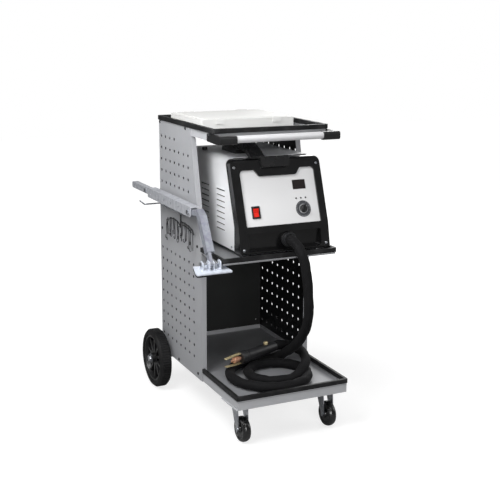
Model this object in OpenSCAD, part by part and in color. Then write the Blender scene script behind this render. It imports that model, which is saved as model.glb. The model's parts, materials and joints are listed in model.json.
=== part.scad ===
// Stud welder on a pegboard trolley: dent-pulling spot welder, its gun and cable,
// a compartment box and a hanging puller lever. Millimetres, +Z up, floor at z = 0.
// Modules draw in the trolley's own frame: x = 0 midway between the side panels,
// y = 0 at the panels' back edges, front towards -Y. in_frame() then moves the whole
// to its origin, the middle of the footprint on the floor.

/* [Side panels] */
// Outside width across the two side panels
trolley_w = 360; // [340:1:420]
// Depth of the side panels at the foot
panel_d = 342; // [330:1:380]
// Depth of the side panels at the top
panel_top_d = 260; // [240:1:300]
// Height above the floor at which the side panels start
panel_foot = 116; // [112:1:122]
// Height of the top edge of the side panels
panel_top = 876; // [860:1:920]
// Thickness of the panel sheet
sheet_t = 2; // [1.5:0.1:2.5]
// Width of the folded front flange
flange_w = 16; // [12:1:18]
// Spacing of the peg holes along the depth
hole_pitch_y = 37.5; // [36:0.5:39]
// Spacing of the peg holes up the panel
hole_pitch_z = 36; // [35:0.5:37]
// Diameter of the peg holes
hole_d = 9; // [7:0.5:10]

/* [Trays] */
// Distance from the panels' back edges to the front of the lower tray
lower_front = 595; // [580:1:640]
// Height of the lower tray's floor
lower_floor = 140; // [134:1:146]
// Distance from the panels' back edges to the front of the middle shelf
shelf_front = 503; // [498:1:530]
// Height of the middle shelf's floor
shelf_floor = 517; // [500:1:520]
// Distance from the panels' back edges to the front of the top tray
top_front = 433; // [420:1:445]
// Depth of the top tray's floor below the tops of the panels
top_sink = 10; // [6:1:18]
// Height of the rubber edge trim
trim_h = 13.5; // [12:0.5:16]
// Width of the rubber edge trim
trim_w = 9; // [8:0.5:11]

/* [Push handle] */
// Outside diameter of the handle tube
handle_d = 20; // [16:1:24]
// Wall of the handle tube
handle_wall = 1.5; // [1:0.1:3]
// Depth of the handle's axis below the tops of the panels
handle_sink = 12; // [8:1:18]
// Distance of the handle's axis in front of the top tray
handle_reach = 55; // [45:1:70]

/* [Rear wheels] */
// Diameter of the rear wheels
wheel_d = 192; // [180:1:200]
// Width of the rear wheels
wheel_w = 40; // [34:1:46]
// Diameter of the tyre's seat on the hub
rim_d = 150; // [140:1:158]
// Number of spokes in a rear hub
spoke_count = 10; // [8:1:12]
// Distance of the axle in front of the panels' back edges
axle_inset = 24; // [20:1:40]
// Diameter of the axle
axle_d = 12; // [10:0.5:16]
// Gap from a side panel to its wheel
wheel_gap = 9.5; // [7:0.5:14]

/* [Casters] */
// Diameter of the caster wheels
caster_d = 75; // [65:1:76]
// Width of the caster wheels
caster_w = 25; // [20:1:28]
// Distance of the swivel axis from the outside of the trolley
caster_inset = 40; // [38:1:60]
// Distance of the swivel axis behind the tray's front
caster_back = 69; // [62:1:90]
// Distance from the swivel axis to the wheel's axle
caster_trail = 22; // [16:1:28]
// Side of the square caster plate
caster_plate = 62; // [56:1:66]
// Thickness of the caster plate
caster_plate_t = 3.5; // [3:0.5:5]

/* [Welder case] */
// Width of the steel cover
cover_w = 268; // [250:1:270]
// Sideways place of the welder's centre
case_x = 28; // [20:1:29]
// Height of the cover's top above the base pan
cover_h = 266; // [250:1:275]
// Bend radius at the cover's top corners
cover_r = 21; // [12:1:30]
// Thickness of the cover sheet
cover_t = 1.5; // [1:0.1:2]
// Distance of the welder's back from the panels' back edges
case_back = 82; // [70:1:110]
// Height of the rubber feet
foot_h = 12; // [8:1:16]
// Number of louvres in a column
louvre_count = 8; // [5:1:9]
// Length of a louvre
louvre_l = 62; // [40:1:70]
// Spacing of the louvres
louvre_pitch = 16.8; // [12:0.2:18]

/* [Front bezel] */
// Width of the moulded front bezel
bezel_w = 290; // [276:1:300]
// Height of the bezel
bezel_h = 263; // [250:1:270]
// Height of the upright lower part of the bezel
bezel_low_h = 75; // [60:1:90]
// Distance from the panels' back edges to the bezel's foot
bezel_front = 484; // [470:1:490]
// Lean of the lower part, in degrees from upright
low_lean = 11.5; // [6:0.5:14]
// Lean of the upper part, in degrees from upright
face_lean = 19.75; // [15:0.25:24]
// Depth of the bezel, front to back
bezel_d = 46; // [40:1:52]
// Wall of the bezel
bezel_wall = 6; // [4:0.5:8]
// Width of the white control panel
fascia_w = 240; // [220:1:250]
// Height of the white control panel
fascia_h = 164; // [150:1:170]

/* [Controls] */
// Diameter of the dial knob
knob_d = 23; // [18:1:28]
// Height of the dial knob
knob_h = 15; // [10:1:20]
// Clear width of the rocker switch opening
rocker_w = 18; // [14:1:22]
// Clear height of the rocker switch opening
rocker_h = 28; // [22:1:32]

/* [Carry handle] */
// Width of the carry handle
grip_w = 44; // [36:1:60]
// Height of the carry handle above the cover
grip_h = 43; // [36:1:46]

/* [Compartment box] */
// Width of the box
box_w = 304; // [280:1:320]
// Depth of the box
box_d = 250; // [220:1:260]
// Height of the box with its lid
box_h = 36; // [30:1:44]
// Columns of compartments
box_cols = 6; // [4:1:8]
// Rows of compartments
box_rows = 3; // [2:1:4]
// Wall of the box
box_wall = 2; // [1.5:0.1:3]

/* [Dent puller] */
// Height of the lever's channel section
lever_h = 30; // [26:1:34]
// Width of the lever's channel section
lever_w = 28; // [24:1:32]
// Wall of the lever's channel section
lever_wall = 2.5; // [2:0.1:3]
// Lean of the leg from upright, in degrees
leg_lean = 36; // [30:1:40]
// Length of the leg from its top bolt to the foot pin
leg_l = 168; // [150:1:172]
// Width of the foot plate
foot_w = 107; // [95:1:116]
// Depth of the foot plate
foot_d = 62; // [54:1:68]

/* [Cable and gun] */
// Diameter of the sleeved cable
cable_d = 30; // [26:1:32]
// Diameter of the gun's body
gun_d = 40; // [36:1:44]
// Length of the gun's body
gun_l = 147; // [135:1:155]

/* [Hidden] */

$fn = 32;
// Small amount by which a cutter passes the face that it cuts
cut = 1;
// Radial clearance of a running fit
run = 0.08;
// Gap between two bodies that pass each other
gap = 0.3;

panel_x = trolley_w / 2;
inner_x = panel_x - sheet_t;
flange_x = panel_x - flange_w;
// Height at which the panels' front edges begin to lean back
lean_start = shelf_floor + 3;
lean_run = panel_d - panel_top_d;

// Heights of the tray walls and skirts
lower_skirt = panel_foot;
lower_lip = lower_floor + 13;
lower_trim_top = lower_lip + 4.5;
shelf_skirt = shelf_floor - 2;
shelf_lip = shelf_floor + 13;
shelf_trim_top = shelf_lip + 4;
top_floor = panel_top - top_sink;
top_skirt = top_floor - 14;
top_lip = panel_top + 8;
top_trim_top = panel_top + trim_h;
lower_half_w = panel_x - 4;

// Rear wheels
axle_z = wheel_d / 2;
axle_y = -axle_inset;
wheel_x = panel_x + wheel_gap + wheel_w / 2;
axle_half = panel_x + wheel_gap + wheel_w + 8.5;

// Casters
caster_x = panel_x - caster_inset;
caster_y = -lower_front + caster_back;
caster_top = lower_skirt - caster_plate_t;

// Push handle
handle_y = -top_front - handle_reach;
handle_z = panel_top - handle_sink;
socket_x = panel_x - 44;
bracket_out = panel_x + 8;

// Welder case
case_z = shelf_floor + foot_h;
pan_z = case_z + 2;
cover_top = pan_z + cover_h;
cover_x0 = case_x - cover_w / 2;
cover_x1 = case_x + cover_w / 2;
bezel_x0 = case_x - bezel_w / 2;
bezel_z0 = pan_z;
knee_z = bezel_z0 + bezel_low_h;
knee_y = -bezel_front + bezel_low_h * tan(low_lean);
bezel_top = bezel_z0 + bezel_h;
bezel_top_y = knee_y + (bezel_top - knee_z) * tan(face_lean);

// Cable outlet on the floor of the lower recess
recess_y = -bezel_front + 22;
outlet_x = case_x + 17;
outlet_z = pan_z + 33;

// Compartment box
box_bay = inner_x - sheet_t - 3;
box_x0 = -box_bay + (2 * box_bay - box_w) * 0.3095;
box_y1 = -50;
box_z0 = top_floor;
lid_t = 5;
hinge_r = 1.5;
hinge_y = box_y1 + 3.5;
hinge_z = box_z0 + box_h - 2.5;

// Dent puller lever: its channel stands clear of the left panel
lever_x = -panel_x - 30;
lever_top = 661;
lever_back = 155;
lever_front_end = -368;
slide_mouth = -4;
slide_end = -46;
slider_h = 20;
slider_w = 18.5;
slide_bolt_y = 21;
leg_bolt_y = -352;
leg_bolt_z = lever_top - 16;
leg_top_y = -402;
// Place of the foot pin, at the leg's lower end
foot_pin_y = leg_top_y - leg_l * sin(leg_lean) + 8;
foot_pin_z = leg_bolt_z - leg_l * cos(leg_lean) + 14;
foot_x = lever_x - 2;
eye_r = 9;
ear_t = 3;
ear_gap = 10;
ear_w = 23;
// The eye and the ears stand left of the plate's middle, clear of the shelf's trim
ear_x = -2;
foot_side = 14;

// Footprint: the origin is its middle
reach_left = -foot_x + foot_w / 2;
reach_right = axle_half;
reach_front = lower_front + (trim_w - sheet_t) / 2;
reach_back = lever_back;
shift_x = (reach_left - reach_right) / 2;
shift_y = (reach_front - reach_back) / 2;

// Route of the cable from the outlet down to the coil, as round points
DROP = [[45, -463, 564], [45, -478, 564], [46, -494, 561], [49, -510, 553], [53, -524, 538],
  [58, -533, 518], [62, -538, 494], [66, -541, 465], [69, -543, 430], [72, -543, 390],
  [74, -540, 354], [76, -530, 322], [77, -511, 290], [79, -484, 259], [80, -453, 232],
  [80, -420, 208], [78, -392, 190], [71, -369, 173], [63, -359, 165.5], [55, -350, 160.5],
  [30, -338, 156.5], [8, -335, 155.5]];
// Route of the cable from the coil's inner turn over the outer one to the gun's tail
TAIL = [[20, -526, 156], [48, -519, 161], [70, -508, 170], [88, -494, 179], [104, -473, 185],
  [116, -448, 187], [123, -424, 188], [127, -402, 188.5], [126.5, -382, 189.6], [121.5, -364, 191.2],
  [112.5, -350, 193], [101, -341.2, 194.4], [89, -337.8, 195.3], [76.3, -338.1, 195.5],
  [70.3, -340.2, 195.3], [63.8, -342.4, 195.2]];
// Middle of the coil and the radii of its solid
COIL = [-8, -452];
coil_out = 134;
coil_in = 60;
coil_h = cable_d + 1;

// Gun: its body's front end, and the turn of its axis about Z
gun_at = [-76, -390, lower_floor + coil_h + gun_d / 2 + gap];
gun_turn = 18.8;
// Rise of its tail, which rests on the cable where that runs under it
gun_rise = 1.5;

// ---------------------------------------------------------------- helpers

function unit(v) = v / norm(v);
function short_turn(a) = a > 180 ? a - 360 : a < -180 ? a + 360 : a;
function fillet(a, b, c, r, n) =
  r <= 0 ? [b] :
  let (u = unit(a - b), v = unit(c - b), half = acos(u * v) / 2,
       o = b + unit(u + v) * r / sin(half),
       p = b + u * r / tan(half), q = b + v * r / tan(half),
       s = atan2(p.y - o.y, p.x - o.x),
       turn = short_turn(atan2(q.y - o.y, q.x - o.x) - s))
  [for (i = [0 : n]) o + r * [cos(s + turn * i / n), sin(s + turn * i / n)]];
// Outline whose corners [x, y, r] are rounded to their own radius
function rounded(pts, n = 5) =
  [for (i = [0 : len(pts) - 1])
    let (m = len(pts), a = pts[(i + m - 1) % m], b = pts[i], c = pts[(i + 1) % m])
    each fillet([a.x, a.y], [b.x, b.y], [c.x, c.y], b[2], n)];
function box_outline(x0, y0, x1, y1, r) = [[x0, y0, r], [x1, y0, r], [x1, y1, r], [x0, y1, r]];

module in_frame() {
  translate([shift_x, shift_y, 0]) children();
}
module block(x0, x1, y0, y1, z0, z1) {
  translate([x0, y0, z0]) cube([x1 - x0, y1 - y0, z1 - z0]);
}
// Extrudes an outline drawn in (x, z) from y0 to y1
module along_y(y0, y1) {
  translate([0, y1, 0]) rotate([90, 0, 0]) linear_extrude(y1 - y0) children();
}
// Extrudes an outline drawn in (y, z) from x0 to x1
module along_x(x0, x1) {
  translate([x0, 0, 0]) rotate([90, 0, 90]) linear_extrude(x1 - x0) children();
}
// Extrudes an outline drawn in (x, y) from z0 to z1
module along_z(z0, z1) {
  translate([0, 0, z0]) linear_extrude(z1 - z0) children();
}
module rod_x(x0, x1, r) {
  translate([x0, 0, 0]) rotate([0, 90, 0]) cylinder(r = r, h = x1 - x0);
}
module rod_y(y0, y1, r) {
  translate([0, y1, 0]) rotate([90, 0, 0]) cylinder(r = r, h = y1 - y0);
}
// Straight round wire between two points
module wire(a, b, r) {
  d = b - a;
  translate(a) rotate([0, acos(d.z / norm(d)), atan2(d.y, d.x)]) cylinder(r = r, h = norm(d), $fn = 16);
}
// Pan-head screw: its head's seat at the origin, the head towards +Z
module pan_screw(r, shank_r, shank_l) {
  rotate_extrude($fn = 20)
    polygon([[0, -shank_l], [shank_r, -shank_l], [shank_r, 0], [r, 0], [r, r * 0.35],
      [r * 0.7, r * 0.62], [r * 0.35, r * 0.62], [r * 0.35, r * 0.3], [0, r * 0.3]]);
}

// ---------------------------------------------------------------- trolley

// Front edge of a side panel at height z
function panel_edge(z) =
  z <= lean_start ? -panel_d : -panel_d + lean_run * (z - lean_start) / (panel_top - lean_start);

// Rows of peg holes: [row from the top, number of columns]
HOLE_ROWS = concat([[0, 4]], [for (j = [1 : 6]) [j, 7]], [for (j = [10 : 18]) [j, 8]]);
hole_top = panel_top - 49;
hole_back = hole_pitch_y / 2;
function hole_y(col) = -hole_back - col * hole_pitch_y;
function hole_z(row) = hole_top - row * hole_pitch_z;

// Left side panel; the right one is its mirror image
module side_panel() {
  flange_top = top_skirt - gap;
  edge_top = panel_edge(flange_top);
  difference() {
    union() {
      along_x(-panel_x, -inner_x)
        polygon([[0, panel_foot], [0, panel_top], [-panel_top_d, panel_top],
          [-panel_d, lean_start], [-panel_d, panel_foot]]);
      intersection() {
        along_x(-inner_x, -flange_x)
          polygon([[-panel_d, panel_foot], [-panel_d, lean_start], [edge_top, flange_top],
            [edge_top + sheet_t, flange_top], [-panel_d + sheet_t, lean_start],
            [-panel_d + sheet_t, panel_foot]]);
        along_y(-panel_d - cut, 0)
          polygon(rounded([[-panel_x, panel_foot, 0], [-flange_x, panel_foot, 0],
            [-flange_x, flange_top, 10], [-panel_x, flange_top, 0]]));
      }
      // Rear and bottom return flanges
      block(-inner_x, -flange_x, -sheet_t, 0, panel_foot, top_skirt - gap);
    }
    for (row = HOLE_ROWS)
      for (col = [0 : row[1] - 1])
        translate([0, hole_y(col), hole_z(row[0])])
          rod_x(-panel_x - cut, -inner_x + cut, hole_d / 2, $fn = 24);
    // Holes for the screws that hold the trays
    for (s = PANEL_SCREWS)
      translate([0, s[0], s[1]]) rod_x(-panel_x - cut, -inner_x + cut, 2.6, $fn = 20);
  }
}
// Screws through a side panel into the trays: [y, z]
PANEL_SCREWS = [[-9, panel_top - 6], [-225, panel_top - 6], [-18, shelf_lip], [-313, shelf_lip],
  [-153, lower_skirt + 11], [-313, lower_skirt + 17]];

module side_panel_left() {
  color("silver") in_frame() side_panel();
}
module side_panel_right() {
  color("silver") in_frame() mirror([1, 0, 0]) side_panel();
}

// Closes the back of the lower bay, in front of the panels' rear flanges
module back_panel() {
  color("darkgray") in_frame() difference() {
    block(-inner_x, inner_x, -2 * sheet_t, -sheet_t, lower_floor + 14, shelf_skirt);
    // Bolt hole near each lower corner
    for (side = [-1, 1])
      translate([side * (inner_x - 14), 0, lower_floor + 34]) rod_y(-3 * sheet_t, 0, 2.6, $fn = 20);
  }
}

// Sheet pan open above and below its floor, and at its back when open_back is true
module pan(half_w, y0, y1, skirt, floor_z, lip, t, open_back) {
  back = open_back ? y1 + cut : y1 - t;
  difference() {
    block(-half_w, half_w, y0, y1, skirt, lip);
    block(-half_w + t, half_w - t, y0 + t, back, floor_z, lip + cut);
    if (floor_z - t > skirt)
      block(-half_w + t, half_w - t, y0 + t, back, skirt - cut, floor_z - t);
  }
}
// Tray that stands out in front of the panels and runs back between them
module long_tray(half_w, front, skirt, floor_z, lip, inner_skirt, inner_lip) {
  neck_y = -panel_d - gap;
  bay_y = -panel_d + sheet_t + gap;
  pan(half_w, -front, neck_y, skirt, floor_z, lip, sheet_t, true);
  block(-flange_x + gap, flange_x - gap, neck_y - cut, bay_y + cut, floor_z - sheet_t, floor_z);
  difference() {
    block(-inner_x, inner_x, bay_y, -2 * sheet_t, inner_skirt, inner_lip);
    block(-inner_x + sheet_t, inner_x - sheet_t, bay_y - cut, -3 * sheet_t, floor_z, inner_lip + cut);
    block(-inner_x + sheet_t, inner_x - sheet_t, bay_y - cut, -3 * sheet_t, inner_skirt - cut,
      floor_z - sheet_t);
    tray_screw_holes();
  }
}
module tray_screw_holes() {
  for (s = PANEL_SCREWS)
    for (side = [-1, 1])
      translate([side * panel_x, s[0], s[1]]) rod_x(-4 * sheet_t, 4 * sheet_t, 2.2, $fn = 20);
}

module lower_tray() {
  gusset = caster_plate + 14;
  color("lightgray") in_frame() difference() {
    union() {
      long_tray(lower_half_w, lower_front, lower_skirt, lower_floor, lower_lip, lower_skirt + 1,
        lower_floor + 14);
      // Gussets that carry the casters
      for (side = [-1, 1])
        translate([side * caster_x, caster_y, 0])
          block(-caster_x + lower_half_w - gusset - 1, lower_half_w - caster_x - 1,
            -caster_back + 1, caster_plate / 2 + 6, lower_skirt, lower_skirt + sheet_t);
    }
    caster_bolt_places() translate([0, 0, -2 * sheet_t]) cylinder(r = 3.2, h = 5 * sheet_t, $fn = 20);
  }
}
// Children at each of the eight caster bolts, on the skirt's bottom plane
module caster_bolt_places() {
  pitch = caster_plate / 2 - 9;
  for (side = [-1, 1])
    for (i = [-1, 1])
      for (j = [-1, 1])
        translate([side * caster_x + i * pitch, caster_y + j * pitch, lower_skirt]) children();
}
module mid_shelf() {
  wall_top = shelf_lip + 8;
  color("lightgray") in_frame() difference() {
    long_tray(panel_x, shelf_front, shelf_skirt, shelf_floor, shelf_lip, shelf_skirt, wall_top);
    // Room for the panels' flanges, which lean back above the shelf's floor
    for (side = [0, 1])
      mirror([side, 0, 0])
        block(flange_x - gap, panel_x, -panel_d - gap, panel_edge(wall_top) + sheet_t + gap,
          lean_start - gap, wall_top + cut);
  }
}
module top_tray() {
  color("lightgray") in_frame() difference() {
    pan(inner_x, -top_front, -sheet_t, top_skirt, top_floor, top_lip, sheet_t, false);
    tray_screw_holes();
    for (side = [-1, 1])
      translate([side * inner_x, handle_y + handle_reach + 14, handle_z + 6])
        rod_x(-2 * sheet_t, 2 * sheet_t, 2.6, $fn = 20);
  }
}

// Rubber trim along the front and sides of a pan's lip, hooked over the sheet
module open_trim(half_w, front, back, lip, top) {
  side = (trim_w - sheet_t) / 2;
  out = half_w + side;
  z0 = top - trim_h;
  difference() {
    along_z(z0, top)
      polygon(rounded([[-out, back, 0], [-out, -front - side, 7], [out, -front - side, 7],
        [out, back, 0]]));
    along_z(z0 - cut, top + cut)
      polygon(rounded([[-out + trim_w, back + cut, 0], [-out + trim_w, -front - side + trim_w, 2],
        [out - trim_w, -front - side + trim_w, 2], [out - trim_w, back + cut, 0]]));
    difference() {
      block(-half_w, half_w, -front, back + cut, z0 - cut, lip);
      block(-half_w + sheet_t, half_w - sheet_t, -front + sheet_t, back + 2 * cut, z0 - 2 * cut, lip + cut);
    }
  }
}
module lower_tray_trim() {
  color("#222222") in_frame()
    open_trim(lower_half_w, lower_front, -panel_d - gap, lower_lip, lower_trim_top);
}
module mid_shelf_trim() {
  color("#222222") in_frame()
    open_trim(panel_x, shelf_front, -panel_d - gap, shelf_lip, shelf_trim_top);
}
module top_tray_trim() {
  side = 6.5;
  out = inner_x + side;
  in = inner_x - sheet_t - 3;
  color("#222222") in_frame() difference() {
    along_z(panel_top, top_trim_top)
      polygon(rounded(box_outline(-out, -top_front - side, out, side - sheet_t, 9)));
    along_z(panel_top - cut, top_trim_top + cut)
      polygon(rounded(box_outline(-in, -top_front + sheet_t + 3, in, -2 * sheet_t - 3, 3)));
    difference() {
      block(-inner_x, inner_x, -top_front, -sheet_t, panel_top - cut, top_lip);
      block(-inner_x + sheet_t, inner_x - sheet_t, -top_front + sheet_t, -2 * sheet_t,
        panel_top - 2 * cut, top_lip + cut);
    }
  }
}

module push_handle() {
  color("gainsboro") in_frame() translate([0, handle_y, handle_z]) difference() {
    rod_x(-socket_x - 26, socket_x + 26, handle_d / 2, $fn = 48);
    rod_x(-socket_x - 26 - cut, socket_x + 26 + cut, handle_d / 2 - handle_wall, $fn = 48);
  }
}
// Moulded corner bracket: an arm along the tray's side and a socket for the tube
module handle_bracket() {
  arm_y1 = -top_front + 26;
  r = handle_d / 2 + 3;
  difference() {
    union() {
      along_x(-bracket_out, -inner_x)
        polygon(rounded([[handle_y - r, handle_z - r, 8], [handle_y + r + 14, handle_z - r, 4],
          [arm_y1, handle_z - 11, 4], [arm_y1, panel_top - 1, 4],
          [handle_y - r, handle_z + r - 2, 8]]));
      along_x(-inner_x, -socket_x)
        polygon(rounded([[handle_y - r, handle_z - r, 8], [handle_y + r, handle_z - r, 6],
          [handle_y + r, handle_z + r - 2, 6], [handle_y - r, handle_z + r - 2, 8]]));
      along_z(handle_z - 9, handle_z + 9)
        polygon([[-inner_x, handle_y + r - cut], [-inner_x, handle_y + r + 22],
          [-inner_x + 22, handle_y + r - cut]]);
    }
    translate([0, handle_y, handle_z]) rod_x(-socket_x - 26, -socket_x + cut, handle_d / 2, $fn = 48);
    translate([0, handle_y + handle_reach + 14, handle_z + 6])
      rod_x(-bracket_out - cut, -inner_x + cut, 2.6, $fn = 20);
  }
}
module handle_brackets() {
  color("#262626") in_frame() {
    handle_bracket();
    mirror([1, 0, 0]) handle_bracket();
  }
}

// Pan-head screws of the trolley: side panels, handle brackets and caster plates
module trolley_screws() {
  color("dimgray") in_frame() {
    for (side = [-1, 1]) {
      for (s = PANEL_SCREWS)
        translate([side * panel_x, s[0], s[1]]) rotate([0, side * 90, 0]) pan_screw(4.5, 2.2, 8);
      translate([side * bracket_out, handle_y + handle_reach + 14, handle_z + 6])
        rotate([0, side * 90, 0]) pan_screw(5, 2.6, bracket_out - inner_x + 5);
    }
    caster_bolt_places() translate([0, 0, -caster_plate_t]) mirror([0, 0, 1]) pan_screw(5.5, 3.2, 12);
  }
}

// ---------------------------------------------------------------- rear wheels

// Axle with a shoulder outside each panel that spaces the wheel
module rear_axle() {
  shoulder = axle_d / 2 + 3;
  a = panel_x + gap;
  b = panel_x + wheel_gap - gap;
  color("silver") in_frame() translate([0, axle_y, axle_z]) {
    rod_x(-axle_half + 0.5, axle_half - 0.5, axle_d / 2, $fn = 32);
    for (side = [-1, 1])
      mirror([side > 0 ? 1 : 0, 0, 0]) rod_x(-b, -a, shoulder, $fn = 32);
  }
}
// Plate inside each side of the lower tray that carries the axle below it
module axle_bracket() {
  x0 = -inner_x + sheet_t;
  top = lower_floor - sheet_t - gap;
  difference() {
    along_x(x0, x0 + 5)
      polygon(rounded([[axle_y - 26, top, 2], [axle_y - 26, panel_foot + 4, 4],
        [axle_y - 14, axle_z - 16, 12], [axle_y + 14, axle_z - 16, 12],
        [axle_y + 17, panel_foot + 4, 4], [axle_y + 17, top, 2]]));
    translate([0, axle_y, axle_z]) rod_x(x0 - cut, x0 + 5 + cut, axle_d / 2, $fn = 32);
  }
}
module axle_brackets() {
  color("#303030") in_frame() {
    axle_bracket();
    mirror([1, 0, 0]) axle_bracket();
  }
}
module axle_caps() {
  color("gray") in_frame() for (side = [-1, 1])
    translate([side * axle_half, axle_y, axle_z]) rotate([0, side * 90, 0])
      rotate_extrude($fn = 32)
        polygon([[axle_d / 2, -8 + gap], [axle_d / 2 + 4, -8 + gap], [axle_d / 2 + 5, -6],
          [axle_d / 2 + 4, 0], [0, 0], [0, -0.5], [axle_d / 2, -0.5]]);
}

// Spoked hub about the X axis
module rear_hub() {
  boss_r = axle_d / 2 + 11;
  rim_r = rim_d / 2;
  in_rim = rim_r - 5;
  rotate([0, 90, 0]) difference() {
    union() {
      rotate_extrude($fn = 64)
        polygon([[in_rim, -wheel_w / 2 + 4], [rim_r, -wheel_w / 2 + 4], [rim_r, wheel_w / 2 - 4],
          [in_rim, wheel_w / 2 - 4], [in_rim - 3, 5], [in_rim - 3, -5]]);
      translate([0, 0, -wheel_w / 2]) cylinder(r = boss_r, h = wheel_w, $fn = 40);
      for (i = [0 : spoke_count - 1])
        rotate([0, 0, i * 360 / spoke_count])
          translate([0, 0, -9]) linear_extrude(18)
            polygon([[boss_r - 3, -5], [in_rim - 1, -3], [in_rim - 1, 3], [boss_r - 3, 5]]);
    }
    cylinder(r = axle_d / 2 + run, h = wheel_w + 2 * cut, center = true, $fn = 40);
  }
}
// Tyre with rounded shoulders about the X axis
module rear_tyre() {
  r = wheel_d / 2;
  h = wheel_w / 2;
  rotate([0, 90, 0]) rotate_extrude($fn = 96)
    polygon(rounded([[rim_d / 2, -h + 4, 0], [rim_d / 2 + 5, -h, 3], [r - 6, -h, 8],
      [r, -h + 7, 6], [r, h - 7, 6], [r - 6, h, 8], [rim_d / 2 + 5, h, 3], [rim_d / 2, h - 4, 0]], 4));
}
module rear_hub_left() {
  color("#2b2b2b") in_frame() translate([-wheel_x, axle_y, axle_z]) rear_hub();
}
module rear_tyre_left() {
  color("#1c1c1c") in_frame() translate([-wheel_x, axle_y, axle_z]) rear_tyre();
}
module rear_hub_right() {
  color("#2b2b2b") in_frame() translate([wheel_x, axle_y, axle_z]) rear_hub();
}
module rear_tyre_right() {
  color("#1c1c1c") in_frame() translate([wheel_x, axle_y, axle_z]) rear_tyre();
}

// ---------------------------------------------------------------- casters

king_r = 5;
crown_r = 25;
crown_h = 9;
crown_top = caster_top - gap;
crown_z = crown_top - crown_h;
fork_in = caster_w / 2 + 2;

// Top plate with its kingpin, swivel axis on Z
module caster_top_plate() {
  difference() {
    along_z(caster_top, lower_skirt)
      polygon(rounded(box_outline(-caster_plate / 2, -caster_plate / 2, caster_plate / 2,
        caster_plate / 2, 5)));
    for (i = [-1, 1])
      for (j = [-1, 1])
        translate([i * (caster_plate / 2 - 9), j * (caster_plate / 2 - 9), caster_top - cut])
          cylinder(r = 3.2, h = caster_plate_t + 2 * cut, $fn = 20);
  }
  translate([0, 0, crown_z - 5]) cylinder(r = king_r, h = caster_top - crown_z + 5 + cut);
  translate([0, 0, crown_z - 5]) cylinder(r = king_r + 4, h = 5 - gap);
}
module caster_plates() {
  color("#3a3a3a") in_frame() for (side = [-1, 1])
    translate([side * caster_x, caster_y, 0]) caster_top_plate();
}
// Stamped fork with its riveted axle, swivel axis on Z, wheel towards -Y
module caster_fork() {
  axle_h = caster_d / 2;
  difference() {
    union() {
      translate([0, 0, crown_z]) rotate_extrude($fn = 40)
        polygon([[0, 0], [crown_r - 5, 0], [crown_r, 3], [crown_r, crown_h - 2],
          [crown_r - 2, crown_h], [0, crown_h]]);
      for (side = [-1, 1])
        along_x(side > 0 ? fork_in : -fork_in - 2.5, side > 0 ? fork_in + 2.5 : -fork_in)
          polygon(rounded([[-caster_trail - 8, axle_h - 4, 7], [-caster_trail + 8, axle_h - 6, 7],
            [17, crown_z - 6, 6], [17, crown_z + 3, 0], [-20, crown_z + 3, 0],
            [-24, crown_z - 4, 4]]));
      translate([0, -caster_trail, axle_h]) {
        rod_x(-fork_in - 2, fork_in + 2, 4);
        rod_x(-fork_in - 5, -fork_in - 2, 7);
        rod_x(fork_in + 2, fork_in + 5, 7);
      }
    }
    translate([0, 0, crown_z - cut]) cylinder(r = king_r + run, h = crown_h + 2 * cut);
  }
}
module caster_wheel() {
  h = caster_w / 2;
  r = caster_d / 2;
  rotate([0, 90, 0]) rotate_extrude($fn = 64)
    polygon(rounded([[4 + run, -h - 1.4, 0], [10, -h - 1.4, 1], [12, -h + 3, 2], [r - 12, -h + 3, 2],
      [r - 9, -h, 2], [r - 4, -h, 5], [r, -h + 8, 9], [r, h - 8, 9], [r - 4, h, 5], [r - 9, h, 2],
      [r - 12, h - 3, 2], [12, h - 3, 2], [10, h + 1.4, 1], [4 + run, h + 1.4, 0]], 3));
}
module caster_fork_left() {
  color("silver") in_frame() translate([-caster_x, caster_y, 0]) caster_fork();
}
module caster_fork_right() {
  color("silver") in_frame() translate([caster_x, caster_y, 0]) caster_fork();
}
module caster_wheel_left() {
  color("#1a1a1a") in_frame()
    translate([-caster_x, caster_y - caster_trail, caster_d / 2]) caster_wheel();
}
module caster_wheel_right() {
  color("#1a1a1a") in_frame()
    translate([caster_x, caster_y - caster_trail, caster_d / 2]) caster_wheel();
}

// ---------------------------------------------------------------- welder case

// Line of the bezel's back, and of the cover's front edge, in (y, z)
bezel_back_low = -bezel_front + bezel_d;
bezel_back_top = bezel_top_y + bezel_d * 0.62;
function case_profile(front_low, front_top, z0, z1) =
  [[front_low, z0], [front_low, knee_z], [front_top, bezel_top], [front_top, z1], [-case_back, z1],
   [-case_back, z0]];

// Base pan: floor with upturned edges inside the cover
module welder_base() {
  w = cover_w / 2 - cover_t - gap;
  y0 = bezel_back_low - 20;
  y1 = -case_back - 3;
  color("#8f9296") in_frame() translate([case_x, 0, 0]) difference() {
    union() {
      block(-w, w, y0, y1, case_z, pan_z);
      for (side = [-1, 1])
        block(side > 0 ? w - cover_t : -w, side > 0 ? w : -w + cover_t, y0 + 24, y1, pan_z, pan_z + 18);
    }
    // Air slots in front of the transformer
    for (i = [-4 : 4])
      translate([i * w * 0.12, y0 + 58, 0]) block(-2.5, 2.5, 0, w / 2, case_z - cut, pan_z + cut);
    translate([-case_x, 0, 0]) welder_screw_places() cylinder(r = 2, h = 14, center = true, $fn = 20);
  }
}
// Rubber feet under the base pan, and the same feet as stacking bumpers on top
module rubber_feet() {
  in_x = cover_w / 2 - 26;
  color("#222222") in_frame() {
    for (sx = [-1, 1])
      for (y = [bezel_back_low - 4, -case_back - 40])
        translate([case_x + sx * in_x, y, shelf_floor])
          cylinder(r = 11, h = foot_h);
    for (sx = [-1, 1])
      translate([case_x + sx * (cover_w / 2 - 12), -case_back - 86, cover_top - 2])
        cylinder(r = 8, h = 9);
  }
}

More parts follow.
